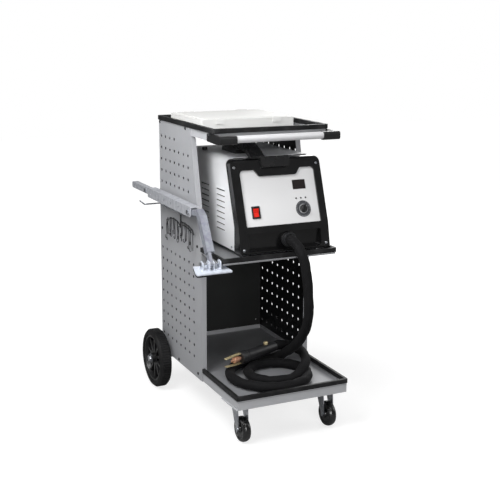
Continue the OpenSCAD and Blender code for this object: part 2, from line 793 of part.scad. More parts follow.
// Closed outline of the cover's section, drawn in (x, z)
function cover_outline(inset, z0) =
  [[cover_x0 + inset, z0, 0], [cover_x1 - inset, z0, 0],
   [cover_x1 - inset, cover_top - inset, cover_r - inset],
   [cover_x0 + inset, cover_top - inset, cover_r - inset]];
// Height of the lowest louvre's slot
louvre_z0 = pan_z + 50;
// Fronts of the louvre columns
LOUVRE_Y = [-347, -230];
louvre_out = 1.6;

// Pressed louvre on the left side: a hood over its slot, open at the bottom edge
module louvre_hood() {
  along_y(0, louvre_l)
    polygon([[-louvre_out, 0], [-louvre_out + 0.8, 0], [cover_t * 0.5, 6], [0, 8]]);
}
module louvre_column(y, side) {
  for (i = [0 : louvre_count - 1])
    translate([side < 0 ? cover_x0 : cover_x1, y, louvre_z0 + i * louvre_pitch])
      mirror([side < 0 ? 0 : 1, 0, 0]) children();
}
module welder_cover() {
  color("gainsboro") in_frame() intersection() {
    union() {
      difference() {
        along_y(-bezel_front, -case_back) polygon(rounded(cover_outline(0, pan_z), 8));
        along_y(-bezel_front - cut, -case_back + cut)
          polygon(rounded(cover_outline(cover_t, pan_z - cut), 8));
        for (side = [-1, 1])
          for (y = LOUVRE_Y)
            louvre_column(y, side) block(-cut, cover_t + cut, 2, louvre_l - 2, -4, 6);
        welder_screw_places() cylinder(r = 2, h = 6, center = true, $fn = 20);
        // Clearance for the feet that screw through the top
        for (sx = [-1, 1])
          translate([case_x + sx * (cover_w / 2 - 12), -case_back - 86, cover_top - 2])
            cylinder(r = 8, h = 9);
      }
      for (side = [-1, 1])
        for (y = LOUVRE_Y)
          louvre_column(y, side) louvre_hood();
    }
    along_x(cover_x0 - 10, cover_x1 + 10)
      polygon(case_profile(bezel_back_low + gap, bezel_back_top + gap, pan_z, bezel_top + 20));
  }
}

// Solid outline of the bezel seen from the front, drawn in (x, z)
function bezel_outline(inset, r) =
  [[bezel_x0 + inset, bezel_z0 + inset, r / 2], [bezel_x0 + bezel_w - inset, bezel_z0 + inset, r / 2],
   [bezel_x0 + bezel_w - inset, bezel_top - inset, r],
   [bezel_x0 + inset, bezel_top - inset, r]];
// Local frame of the raked face: x across, z up the face, -y out of it, origin at the knee
module on_face() {
  translate([case_x, knee_y, knee_z]) rotate([-face_lean, 0, 0]) children();
}
fascia_x = 2;
fascia_z = 4;
notch_h = 20;
// Outline of the control panel with the notch under the carry handle
function fascia_outline(grow) =
  [[fascia_x - fascia_w / 2 - grow, fascia_z - grow, 3],
   [fascia_x + fascia_w / 2 + grow, fascia_z - grow, 3],
   [fascia_x + fascia_w / 2 + grow, fascia_z + fascia_h + grow, 12],
   [fascia_x + 74 - grow, fascia_z + fascia_h + grow, 2],
   [fascia_x + 60 - grow, fascia_z + fascia_h - notch_h + grow, 8],
   [fascia_x - 60 + grow, fascia_z + fascia_h - notch_h + grow, 8],
   [fascia_x - 74 + grow, fascia_z + fascia_h + grow, 2],
   [fascia_x - fascia_w / 2 - grow, fascia_z + fascia_h + grow, 12]];
fascia_t = 2;
fascia_sink = 5;

module front_bezel() {
  color("#161616") in_frame() difference() {
    intersection() {
      along_y(-bezel_front - cut, bezel_back_top) polygon(rounded(bezel_outline(0, 18), 6));
      along_x(bezel_x0 - cut, bezel_x0 + bezel_w + cut)
        polygon(rounded([[-bezel_front, bezel_z0, 5], [knee_y, knee_z, 22],
          [bezel_top_y, bezel_top, 9], [bezel_back_top, bezel_top, 0],
          [bezel_back_low, knee_z, 0], [bezel_back_low, bezel_z0, 0]]));
    }
    // Hollow behind the front wall
    intersection() {
      along_y(-bezel_front - cut, bezel_back_top + 20)
        polygon(rounded(bezel_outline(bezel_wall, 12), 4));
      along_x(bezel_x0 - cut, bezel_x0 + bezel_w + cut)
        polygon([[recess_y + 4, bezel_z0 - cut], [recess_y + 4, knee_z - 4],
          [bezel_top_y + 14, bezel_top + 4], [bezel_back_top + 20, bezel_top + 4],
          [bezel_back_low + 20, knee_z], [bezel_back_low + 20, bezel_z0 - cut]]);
    }
    // Pocket for the control panel
    on_face() along_y(-20, fascia_sink + fascia_t) polygon(rounded(fascia_outline(0.2)));
    // Lower recess around the cable outlet
    along_y(-bezel_front - cut, recess_y)
      polygon(rounded(box_outline(case_x - 118, bezel_z0 + 8, case_x + 118, knee_z - 16, 5)));
    translate([outlet_x, 0, outlet_z]) rod_y(recess_y - cut, recess_y + 10, 15, $fn = 40);
    bezel_screw_places() {
      translate([0, 0, -2.5]) cylinder(r = 4.6, h = 30, $fn = 24);
      translate([0, 0, -4]) cylinder(r = 2, h = 4, $fn = 20);
    }
    // Passages behind the panel for the dial's shaft and the switch
    on_face() {
      translate([DIAL[0], 0, DIAL[1]]) rod_y(0, 30, 6);
      block(SWITCH[0] - rocker_w / 2 - 1.2, SWITCH[0] + rocker_w / 2 + 1.2, 0, 30,
        SWITCH[1] - rocker_h / 2 - 1.2, SWITCH[1] + rocker_h / 2 + 1.2);
    }
  }
}
// Children at the bezel's four screws, +Z out of the face
module bezel_screw_places() {
  x = bezel_w / 2 - 12;
  for (side = [-1, 1]) {
    on_face() translate([side * x, 0, (bezel_top - knee_z) / cos(face_lean) - 22])
      rotate([90, 0, 0]) children();
    translate([case_x + side * x, -bezel_front + 2, bezel_z0 + 14])
      rotate([90, 0, 0]) children();
  }
}
// Children at the cover's side screws; along the X axis
module welder_screw_places() {
  for (side = [-1, 1])
    for (p = [[-396, 8], [-case_back - 16, 8], [-case_back - 16, 200]])
      translate([side < 0 ? cover_x0 : cover_x1, p[0], pan_z + p[1]])
        rotate([0, side * 90, 0]) children();
}
module welder_screws() {
  color("#b0b0b0") in_frame() {
    welder_screw_places() pan_screw(3.6, 2, 6);
    bezel_screw_places() translate([0, 0, -2.5]) pan_screw(4.2, 2, 0.5);
  }
}

// Rear panel with the fan's air grille and the mains inlet
FAN = [case_x - 50, pan_z + 150];
fan_r = 46;
gland_x = case_x + 78;
gland_z = pan_z + 60;
module rear_panel() {
  color("#9a9da0") in_frame() difference() {
    along_y(-case_back - 2, -case_back) polygon(rounded(cover_outline(cover_t + 0.1, pan_z), 8));
    // Ring slots of the grille, left joined by four bars
    translate([FAN[0], -case_back, FAN[1]])
      difference() {
        for (r = [12, 22, 32, 42])
          rotate([90, 0, 0]) difference() {
            cylinder(r = r + 5, h = 8, center = true, $fn = 48);
            cylinder(r = r, h = 10, center = true, $fn = 48);
          }
        for (a = [0, 90])
          rotate([0, a + 45, 0]) block(-2.5, 2.5, -6, 6, -60, 60);
      }
    translate([gland_x, 0, gland_z]) rod_y(-case_back - 4, -case_back + 2, 8.1);
  }
}
// Mains inlet gland with its nut
module mains_gland() {
  color("#202020") in_frame() translate([gland_x, -case_back, gland_z]) rotate([-90, 0, 0])
    difference() {
      union() {
        translate([0, 0, -10]) cylinder(r = 8, h = 22);
        cylinder(r = 12, h = 6, $fn = 6);
        translate([0, 0, 12]) cylinder(r1 = 10, r2 = 8, h = 10);
        translate([0, 0, 6]) cylinder(r = 10, h = 6);
      }
      translate([0, 0, -11]) cylinder(r = 4, h = 40);
    }
}
module fan_frame() {
  s = 60;
  color("#2a2a2a") in_frame() translate([FAN[0], -case_back - 2, FAN[1]]) difference() {
    union() {
      difference() {
        along_y(-32, 0) polygon(rounded(box_outline(-s, -s, s, s, 6)));
        rod_y(-33, 1, fan_r + 10, $fn = 64);
      }
      // Motor seat on three arms, at the inner side
      rod_y(-32, -28, 20);
      for (i = [0 : 2])
        rotate([0, i * 120, 0]) block(-3, 3, -32, -28, 0, fan_r + 12);
    }
    rod_y(-40, 0, 3 + run);
  }
}
// Fan rotor: hub, seven pitched blades and a short shaft in the motor seat
module fan_rotor() {
  blade_r = fan_r + 7;
  color("#333333") in_frame() translate([FAN[0], -case_back - 2, FAN[1]]) {
    rod_y(-27, -6, 19);
    rod_y(-31, -26, 3);
    for (i = [0 : 6])
      rotate([0, i * 360 / 7, 0]) translate([0, -16, 0]) rotate([0, 0, 38])
        block(-12, 12, -0.9, 0.9, 17, blade_r - 2);
  }
}

// Transformer: laminated core with the two windings, bolted to the base pan
core_w = cover_w * 0.6;
core_d = core_w * 0.62;
core_h = core_w * 0.81;
core_leg = core_w / 8;
core_sill = core_h * 0.215;
module transformer() {
  window_x = core_w / 2 - 1.7 * core_leg;
  color("#6b3a1e") in_frame() translate([case_x - 10, -case_back - 158, pan_z]) {
    difference() {
      block(-core_w / 2, core_w / 2, -core_d / 2, core_d / 2, 0, core_h);
      block(-window_x, window_x, -core_d / 2 - cut, core_d / 2 + cut, core_sill, core_h - core_sill);
    }
    block(-core_leg, core_leg, -core_d / 2, core_d / 2, core_sill - cut, core_h - core_sill + cut);
    // Windings round the middle leg
    difference() {
      block(-window_x + 0.5, window_x - 0.5, -core_d * 0.72, core_d * 0.72, core_sill + 2,
        core_h - core_sill - 2);
      block(-core_leg - gap, core_leg + gap, -core_d / 2 - gap, core_d / 2 + gap, core_sill + 1,
        core_h - core_sill - 1);
    }
  }
}
// Control board on two pillars behind the control panel
module control_board() {
  board_x = core_w / 2 + 12;
  leg_x = board_x - 22;
  color("#1f6a3a") in_frame() translate([case_x, bezel_back_top + 21, pan_z + core_h + 6]) {
    block(-board_x, board_x, -1.6, 0, 0, 80);
    for (x = [-leg_x, leg_x])
      block(x - 4, x + 4, 0, 4, -6, 70);
    block(-leg_x + 10, -leg_x + 34, -14, -1.6, 40, 66);
    block(10, leg_x - 24, -10, -1.6, 12, 34);
    block(-board_x, board_x, 0, 10, -8, -6);
    for (x = [-leg_x, leg_x])
      block(x - 4, x + 4, 0, 4, -core_h - 6, -6);
  }
}

// ---------------------------------------------------------------- controls

// Places on the raked face: [x, z]
DISPLAY = [68, 118];
DIAL = [72, 45];
SWITCH = [-82, 45];
LAMPS = [[53, 77.5], [68.5, 77.5], [84, 77.5]];
// Depth of the control panel's outer surface below the bezel's face
fascia_y = fascia_sink;

module control_panel() {
  color("white") in_frame() on_face() difference() {
    along_y(fascia_y, fascia_y + fascia_t) polygon(rounded(fascia_outline(0)));
    translate([DIAL[0], 0, DIAL[1]]) rod_y(fascia_y - cut, fascia_y + fascia_t + cut, 4 + run);
    block(SWITCH[0] - rocker_w / 2 - 1, SWITCH[0] + rocker_w / 2 + 1, fascia_y - cut,
      fascia_y + fascia_t + cut, SWITCH[1] - rocker_h / 2 - 1, SWITCH[1] + rocker_h / 2 + 1);
    block(DISPLAY[0] - 21, DISPLAY[0] + 21, fascia_y - cut, fascia_y + 1, DISPLAY[1] - 14,
      DISPLAY[1] + 14);
    for (p = LAMPS)
      translate([p[0], 0, p[1]]) rod_y(fascia_y - cut, fascia_y + fascia_t + cut, 2.5, $fn = 20);
  }
}
module display_window() {
  color("#2a2626") in_frame() on_face()
    along_y(fascia_y - 0.6, fascia_y + 1)
      polygon(rounded(box_outline(DISPLAY[0] - 21, DISPLAY[1] - 14, DISPLAY[0] + 21,
        DISPLAY[1] + 14, 1)));
}
module indicator_lamps() {
  color("#3c3c3c") in_frame() on_face() for (p = LAMPS)
    translate([p[0], fascia_y, p[1]]) rotate([90, 0, 0]) rotate_extrude($fn = 24)
      polygon(rounded([[0, -fascia_t, 0], [2.5, -fascia_t, 0], [2.5, 1.4, 1], [0, 2, 0]], 4));
}
// Knob with a pointer rib, on its shaft through the panel
module dial_knob() {
  r = knob_d / 2;
  color("#111111") in_frame() on_face() translate([DIAL[0], fascia_y - gap, DIAL[1]])
    rotate([90, 0, 0]) {
      rotate_extrude($fn = 48)
        polygon(rounded([[0, 0, 0], [r, 0, 0], [r, 2.5, 0.5], [r - 2.5, 3.5, 0.5],
          [r - 3.5, knob_h - 3, 1.5], [0, knob_h - 3, 0]], 4));
      along_z(2, knob_h)
        polygon(rounded([[-3, -r + 2.5, 1], [3, -r + 2.5, 1], [2, r - 1, 1], [-2, r - 1, 1]], 3));
      translate([0, 0, -12]) cylinder(r = 4, h = 12);
    }
}
module switch_frame() {
  w = rocker_w / 2;
  h = rocker_h / 2;
  color("#151515") in_frame() on_face() translate([SWITCH[0], 0, SWITCH[1]]) difference() {
    union() {
      along_y(fascia_y - 2.5, fascia_y) polygon(rounded(box_outline(-w - 4, -h - 4, w + 4, h + 4, 1.5)));
      block(-w - 1, w + 1, fascia_y, fascia_y + 16, -h - 1, h + 1);
    }
    block(-w, w, fascia_y - 6, fascia_y + 13, -h, h);
  }
}
// Two-faced rocker that tips about a pin across the frame
rocker_tip = 7;
module switch_rocker() {
  w = rocker_w / 2 - gap;
  h = rocker_h / 2 - 1.2;
  color("#d4201c") in_frame() on_face() translate([SWITCH[0], fascia_y + 5, SWITCH[1]])
    rotate([rocker_tip, 0, 0]) along_x(-w, w)
      polygon(rounded([[-7.5, -h + 0.6, 0.6], [-5.2, 0, 8], [-7.5, h - 0.6, 0.6], [-1, h, 1], [5, 4, 2],
        [5, -4, 2], [-1, -h, 1]], 4));
}

// ---------------------------------------------------------------- carry handle

// Bridge from the bezel's top over the cover to its back, drawn in (y, z)
grip_top = cover_top + grip_h;
// The arch stands left of the case's middle and its front foot is the block on the bezel
grip_x = case_x - 56;
grip_rear = -197;
module carry_handle() {
  foot_y = bezel_top_y - 3;
  foot_z = bezel_top + 2 * gap;
  color("#1a1a1a") in_frame() {
    // Arch in (y, z), with the finger space under it
    along_x(grip_x - grip_w / 2, grip_x + grip_w / 2)
      polygon(rounded([[foot_y, foot_z, 0], [foot_y, foot_z + 7, 3], [foot_y + 19, cover_top + 16, 12],
        [foot_y + 74, grip_top - 2, 30], [grip_rear - 38, grip_top, 25],
        [grip_rear - 3, grip_top - 15, 10], [grip_rear, cover_top, 0],
        [grip_rear - 100, cover_top, 0], [grip_rear - 103, cover_top + 12, 5],
        [grip_rear - 133, cover_top + 20, 10], [foot_y + 32, cover_top + 9, 8],
        [foot_y + 16, cover_top + gap, 2], [foot_y + 19, foot_z, 0]], 6));
    // Block at the head of the raked face
    on_face() along_y(-12, 0)
      polygon(rounded([[-52, 204, 3], [44, 204, 3], [36, 172, 3], [-46, 172, 3]], 4));
  }
}

// ---------------------------------------------------------------- cable

module cable_outlet() {
  color("silver") in_frame() translate([outlet_x, recess_y, outlet_z]) rotate([90, 0, 0])
    difference() {
      union() {
        cylinder(r = cable_d / 2 + 8, h = 4, $fn = 48);
        translate([0, 0, 4]) cylinder(r = cable_d / 2 + 5, h = 8, $fn = 48);
        translate([0, 0, -9]) cylinder(r = 15 - 0.1, h = 9, $fn = 48);
      }
      translate([0, 0, -10]) cylinder(r = cable_d / 2 - 3, h = 10, $fn = 48);
      translate([0, 0, -0.01]) cylinder(r = cable_d / 2 + 0.1, h = 20, $fn = 48);
    }
}

// Sweeps a round section along a route of points
function route_dir(p, i) =
  unit(p[min(i + 1, len(p) - 1)] - p[max(i - 1, 0)]);
// Side vectors along the route, each carried on from the one before without twist
function sides(p, s, i = 0) =
  i == len(p) ? [] :
  let (t = route_dir(p, i), q = unit(s - (s * t) * t)) concat([q], sides(p, q, i + 1));
function ring(p, i, s, r, n) =
  let (u = cross(s, route_dir(p, i)))
  [for (k = [0 : n - 1]) p[i] + r * (cos(360 * k / n) * s + sin(360 * k / n) * u)];
module tube(p, first_side, r, n) {
  last = (len(p) - 1) * n;
  side = sides(p, first_side);
  polyhedron(
    points = [for (i = [0 : len(p) - 1]) each ring(p, i, side[i], r, n)],
    faces = concat(
      [[for (k = [n - 1 : -1 : 0]) k]],
      [for (i = [0 : len(p) - 2]) for (k = [0 : n - 1])
        [i * n + k, i * n + (k + 1) % n, (i + 1) * n + (k + 1) % n, (i + 1) * n + k]],
      [[for (k = [0 : n - 1]) last + k]]));
}
module cable_drop() {
  color("#181818") in_frame() tube(DROP, [1, 0, 0], cable_d / 2, 12);
}
module cable_coil() {
  color("#181818") in_frame() translate([COIL[0], COIL[1], lower_floor + coil_h / 2])
    rotate_extrude($fn = 72)
      polygon(rounded(box_outline(coil_in, -coil_h / 2, coil_out, coil_h / 2, 8), 4));
}
module cable_tail() {
  color("#181818") in_frame() tube(TAIL, [0, 0, 1], cable_d / 2, 12);
}

// ---------------------------------------------------------------- gun

// Local frame of the gun: its axis along +X from the nose to the cable
module on_gun() {
  translate(gun_at) rotate([0, -gun_rise, gun_turn]) children();
}
BUTTON_X = gun_l - 37;
button_r = 7;
// Distance of the prongs' outer faces from the gun's axis
prong_out = 16.5;
module gun_body() {
  r = gun_d / 2;
  color("#1d1d1d") in_frame() on_gun() difference() {
    rotate([0, 90, 0]) rotate_extrude($fn = 48)
      polygon(rounded([[0, 0, 0], [r - 1, 0, 2], [r, 5, 2], [r, 22, 2], [r - 2.5, 26, 3],
        [r - 2.5, gun_l - 34, 6], [r - 4, gun_l - 10, 4], [cable_d / 2, gun_l, 0], [0, gun_l, 0]], 3));
    rotate([0, 90, 0]) translate([0, 0, -cut]) cylinder(r = 6 + 0.1, h = 22);
    translate([0, 0, 0]) for (a = [0, 180])
      rotate([a, 0, 0]) block(-cut, 14, -5, 5, prong_out - 3.1, prong_out + 0.1);
    translate([BUTTON_X, 0, r - 9]) cylinder(r = button_r + gap, h = 20, $fn = 40);
  }
}
// Two brass support prongs, above and below the electrode
module gun_prongs() {
  color("#c9a24a") in_frame() on_gun() for (a = [0, 180])
    rotate([a, 0, 0]) along_y(-4.9, 4.9)
      polygon(rounded([[14, prong_out - 3, 0], [14, prong_out, 0], [-16, prong_out, 4],
        [-58, prong_out - 3, 0.6], [-59, prong_out - 5.5, 0.6], [-16, prong_out - 3, 3]], 3));
}
module gun_electrode() {
  color("#b5703c") in_frame() on_gun() rotate([0, 90, 0]) rotate_extrude($fn = 32)
    polygon(rounded([[0, -36, 0], [3, -36, 1], [4.5, -28, 1], [9.5, -26, 3], [9.5, -8, 3], [6, -6, 0],
      [6, 20, 0], [0, 20, 0]], 3));
}
// Push button on top of the gun
button_travel = 3;
module gun_button() {
  color("#caa24a") in_frame() on_gun() translate([BUTTON_X, 0, gun_d / 2 - 9 + button_travel + gap])
    rotate_extrude($fn = 40)
      polygon(rounded([[0, 0, 0], [button_r, 0, 0], [button_r, 9.5, 2], [0, 10.5, 0]], 4));
}

// ---------------------------------------------------------------- compartment box

box_rim = box_z0 + box_h - lid_t;
// Moulded base with a grid of compartments and the ears of the hinge
module box_base() {
  cell_w = (box_w - box_wall) / box_cols;
  cell_d = (box_d - box_wall) / box_rows;
  color("#e8eef0") in_frame() {
    difference() {
      along_z(box_z0, box_rim)
        polygon(rounded(box_outline(box_x0, box_y1 - box_d, box_x0 + box_w, box_y1, 6)));
      for (i = [0 : box_cols - 1])
        for (j = [0 : box_rows - 1])
          translate([box_x0 + box_wall + i * cell_w, box_y1 - box_d + box_wall + j * cell_d, 0])
            block(0, cell_w - box_wall, 0, cell_d - box_wall, box_z0 + box_wall, box_rim + cut);
    }
    for (x = HINGE_X) {
      for (side = [-1, 1])
        along_x(x + side * 16 - 3, x + side * 16 + 3)
          polygon(rounded([[box_y1 - 0.5, box_rim - 9, 0], [hinge_y + 3, hinge_z - 4, 2],
            [hinge_y + 3, hinge_z + 2.4, 2], [hinge_y - 2.6, hinge_z + 2.4, 1.5],
            [box_y1 + gap, box_rim - 1, 0], [box_y1 - 0.5, box_rim - 1.5, 0]], 3));
      translate([0, hinge_y, hinge_z]) rod_x(x - 14, x + 14, hinge_r, $fn = 24);
    }
  }
}
HINGE_X = [box_x0 + 60, box_x0 + box_w - 60];
// Lid with a raised panel, its two hinge barrels and the front snap lips
module box_lid() {
  color("#f2f6f7") in_frame() difference() {
    union() {
      along_z(box_rim + gap, box_z0 + box_h - 1.5)
        polygon(rounded(box_outline(box_x0, box_y1 - box_d, box_x0 + box_w, box_y1, 6)));
      along_z(box_rim + gap, box_z0 + box_h)
        polygon(rounded(box_outline(box_x0 + 12, box_y1 - box_d + 12, box_x0 + box_w - 12, box_y1 - 12, 8)));
      for (x = HINGE_X)
        along_x(x - 12, x + 12)
          polygon(rounded([[box_y1 - 1, box_rim + gap, 0], [hinge_y - 1, hinge_z - 3, 0.5],
            [hinge_y + 3, hinge_z - 3, 2.5], [hinge_y + 3, hinge_z + 3, 2.5],
            [hinge_y - 1, hinge_z + 3, 1], [box_y1 - 1, box_z0 + box_h - 1.5, 0]], 4));
      for (x = HINGE_X)
        translate([x, 0, 0])
          block(-14, 14, box_y1 - box_d - 2.4, box_y1 - box_d + 4, box_rim + gap, box_z0 + box_h - 1.5);
      for (x = HINGE_X)
        translate([x, 0, 0])
          block(-14, 14, box_y1 - box_d - 2.4, box_y1 - box_d - gap, box_rim - 10, box_rim + cut);
    }
    // Shallow underside that seals on the rim
    along_z(box_rim - cut, box_z0 + box_h - 2)
      polygon(rounded(box_outline(box_x0 + 14, box_y1 - box_d + 14, box_x0 + box_w - 14, box_y1 - 14, 6)));
    for (x = HINGE_X)
      translate([0, hinge_y, hinge_z]) rod_x(x - 13, x + 13, hinge_r + run, $fn = 24);
  }
}

// ---------------------------------------------------------------- dent puller

lever_out = lever_x - lever_w / 2;
lever_in = lever_x + lever_w / 2;
lever_low = lever_top - lever_h;
lever_slot = lever_out + lever_wall;
slider_top = lever_top - lever_wall;
slider_low = slider_top - slider_h;
// Channel bar, its open side towards the panel, and the square tube held in it
module lever_bar() {
  slot_low = lever_low + lever_wall;
  color("#b8bcc0") in_frame() {
    difference() {
      along_x(lever_out, lever_in)
        polygon(rounded([[slide_mouth, lever_low, 3], [slide_mouth, lever_top, 3],
          [lever_front_end, lever_top, 6], [lever_front_end, lever_low, 6]]));
      along_x(lever_slot, lever_in + cut)
        polygon([[slide_mouth + cut, slot_low], [slide_mouth + cut, slider_top],
          [lever_front_end - cut, slider_top], [lever_front_end - cut, slot_low]]);
      // Row of adjustment holes and the bore of the leg's bolt
      for (i = [0 : 4])
        translate([0, -30 - i * 60, lever_top - 16])
          rod_x(lever_out - cut, lever_slot + cut, 3.5, $fn = 20);
      translate([0, leg_bolt_y, leg_bolt_z]) rod_x(lever_out - cut, lever_slot + cut, 4, $fn = 32);
    }
    difference() {
      along_x(lever_slot, lever_slot + slider_w)
        polygon(rounded([[slide_end, slider_low, 2], [lever_back, slider_low, 6],
          [lever_back, slider_top, 6], [slide_end, slider_top, 2]]));
      block(lever_slot + 2, lever_slot + slider_w - 2, slide_end - cut, lever_back - 4,
        slider_low + 2, slider_top - 2);
      for (y = [slide_bolt_y, 60, 100, 135])
        translate([0, y, slider_low + slider_h / 2])
          rod_x(lever_slot - cut, lever_slot + slider_w + cut, 3, $fn = 20);
    }
  }
}
// Leg: two cheeks beside the bolt, a bent channel and the eye for the foot pin
module lever_leg() {
  cheek = lever_w / 2 - lever_wall - 1.5;
  web = 10;
  top = [leg_top_y - 6, leg_bolt_z + 13];
  low = [foot_pin_y, foot_pin_z];
  dir = unit(low - top);
  side = [-dir.y, dir.x];
  color("#aeb4bd") in_frame() difference() {
    union() {
      // Neck that enters the channel bar
      along_x(lever_x - cheek, lever_x + cheek)
        polygon(rounded([[leg_bolt_y + 9, leg_bolt_z - 9, 8], [leg_bolt_y + 9, leg_bolt_z + 9, 8],
          [leg_top_y, leg_bolt_z + 9, 2], [leg_top_y, leg_bolt_z - 4, 2]]));
      // Bent channel down to the eye
      along_x(lever_x - 11, lever_x + 11)
        polygon(rounded([concat(top + side * 10, 3), concat(top - side * 8 + [12, 0], 3),
          concat(top - side * 14 + dir * 20, 3), concat(low - side * 11 - dir * 30, 3),
          concat(low + side * 11 - dir * 30, 3)]));
      along_x(foot_x + ear_x - 4.5, foot_x + ear_x + 4.5)
        polygon(rounded([concat(low - side * eye_r - dir * 36, 0),
          concat(low - side * eye_r + dir * eye_r, eye_r - 0.5),
          concat(low + side * eye_r + dir * eye_r, eye_r - 0.5),
          concat(low + side * eye_r - dir * 36, 0)]));
    }
    // Hollow of the channel, open towards the back
    along_x(lever_x - 8.5, lever_x + 8.5)
      polygon([top + side * 30 + dir * 22, low + side * 30 - dir * 40, low - side * 8 - dir * 40,
        top - side * 11 + dir * 22]);
    translate([0, leg_bolt_y, leg_bolt_z]) rod_x(lever_out - cut, lever_in + cut, 4 + run);
    translate([0, foot_pin_y, foot_pin_z])
      rod_x(foot_x + ear_x - web, foot_x + ear_x + web, 4 + run);
  }
}
module leg_bolt() {
  color("#d8d8d8") in_frame() {
    translate([0, leg_bolt_y, leg_bolt_z]) {
      rod_x(lever_out, lever_in, 4);
      rotate([0, -90, 0]) translate([0, 0, -lever_out]) cylinder(r = 7, h = 5, $fn = 6);
      rod_x(lever_in - 3.5, lever_in, 6.5, $fn = 6);
    }
    // Stop bolt of the square tube
    translate([0, slide_bolt_y, slider_low + slider_h / 2]) {
      rod_x(lever_slot, lever_slot + slider_w, 3, $fn = 20);
      rotate([0, -90, 0]) translate([0, 0, -lever_slot]) cylinder(r = 6.5, h = 5, $fn = 6);
      rod_x(lever_slot + slider_w, lever_slot + slider_w + 4, 5.5, $fn = 6);
    }
  }
}
foot_tilt = 8;
// Local frame of the foot plate: origin on the pin, tilted about it
module on_foot() {
  translate([foot_x, foot_pin_y, foot_pin_z]) rotate([foot_tilt, 0, 0]) children();
}
foot_drop = 21;
function foot_outline() =
  [[-foot_w / 2, -foot_d / 2, 4], [foot_w / 2, -foot_d / 2, 4],
   [foot_w / 2, -foot_d / 2 + foot_side, 0], [foot_w / 2 - 12, foot_d / 2, 4],
   [-foot_w / 2 + 12, foot_d / 2, 4], [-foot_w / 2, -foot_d / 2 + foot_side, 0]];
// Plate with tapered ends and two U brackets that hold the pin
module foot_plate() {
  color("#9fb0bd") in_frame() on_foot() difference() {
    union() {
      along_z(-foot_drop, -foot_drop + 4)
        polygon(rounded(foot_outline()));
      for (side = [-1, 1])
        translate([ear_x + side * (ear_gap / 2 + ear_w / 2), 0, 0]) difference() {
          along_x(-ear_w / 2, ear_w / 2)
            polygon(rounded([[-13, -foot_drop + 3, 0], [13, -foot_drop + 3, 0], [11, 8, 7], [-11, 8, 7]]));
          block(-ear_w / 2 + ear_t, ear_w / 2 - ear_t, -20, 20, -foot_drop + 4 + ear_t, 20);
        }
    }
    rod_x(-50, 50, 4);
  }
}
module foot_pad() {
  color("#151515") in_frame() on_foot() along_z(-foot_drop - 5, -foot_drop)
    polygon(rounded(foot_outline()));
}
module foot_pin() {
  half = ear_gap / 2 + ear_w;
  color("#d8d8d8") in_frame() on_foot() {
    rod_x(ear_x - half, ear_x + half + 1, 4);
    rod_x(ear_x - half - 3.5, ear_x - half, 6.5);
  }
}

// ---------------------------------------------------------------- peg tools

wire_r = 2.5;
// Hook that carries the lever: out of a hole, up, and out again under the channel's flange
module bar_hook(y) {
  z = hole_z(5);
  top = lever_top - lever_wall - gap - wire_r;
  wire([-inner_x + 5, y, z], [-panel_x - 9, y, z], wire_r);
  wire([-panel_x - 9, y, z], [-panel_x - 9, y, top], wire_r);
  wire([-panel_x - 9, y, top], [lever_out + lever_wall + 4, y, top], wire_r);
  for (zz = [z, top])
    translate([-panel_x - 9, y, zz]) sphere(r = wire_r, $fn = 16);
  peg_collars(y, z);
}
// Collars that grip the sheet around a peg hole
module peg_collars(y, z) {
  translate([-panel_x - 2, y, z]) rod_x(0, 2, hole_d / 2 + 2.5, $fn = 24);
  translate([-inner_x, y, z]) rod_x(0, 4, hole_d / 2 + 1.5, $fn = 24);
}
// Empty hook with an upturned tip
module tool_hook(y, z, l) {
  wire([-inner_x + 5, y, z], [-panel_x - l, y, z], wire_r);
  wire([-panel_x - l, y, z], [-panel_x - l - 16, y, z + 13], wire_r);
  translate([-panel_x - l, y, z]) sphere(r = wire_r, $fn = 16);
  peg_collars(y, z);
}
module peg_hooks() {
  color("#c4c7ca") in_frame() {
    bar_hook(hole_y(1));
    bar_hook(hole_y(6));
    tool_hook(hole_y(0), hole_z(6), 60);
    tool_hook(hole_y(2), hole_z(6), 16);
    tool_hook(hole_y(4), hole_z(6), 14);
    tool_hook(hole_y(5), hole_z(6), 14);
  }
}

// Claw puller: a carrier bar on its drawbar, with a row of hooks below
claw_x = -panel_x - 8;
claw_y = hole_y(4) + 4;
claw_z = hole_z(6) - 46;
CLAWS = [-96, -80, -62, -44, -26, -8, 12, 32, 52, 70, 88];
// Claw number i is a straight shank that ends in a half ring
module claw(y, l, r) {
  translate([claw_x, y, claw_z]) {
    translate([0, 0, -l]) cylinder(r = 2, h = l, $fn = 16);
    translate([0, r, -l]) rotate([90, 0, -90]) rotate([0, 0, 180])
      rotate_extrude(angle = 180, $fn = 32) translate([r, 0]) circle(r = 2, $fn = 14);
  }
}
module claw_puller() {
  color("#23282c") in_frame() {
    translate([claw_x, 0, claw_z]) rod_y(claw_y - 100, claw_y + 94, 3.5, $fn = 20);
    translate([claw_x, claw_y, claw_z]) cylinder(r = 3, h = 40, $fn = 20);
    translate([claw_x, claw_y - 4, hole_z(6) - 1.2]) rotate([0, 90, 0])
      rotate_extrude($fn = 32) translate([6, 0]) circle(r = 2, $fn = 14);
    for (i = [0 : len(CLAWS) - 1])
      claw(claw_y + CLAWS[i], 26 + 10 * (i % 3), 5 + i % 2 * 2);
  }
}

// ---------------------------------------------------------------- nodes

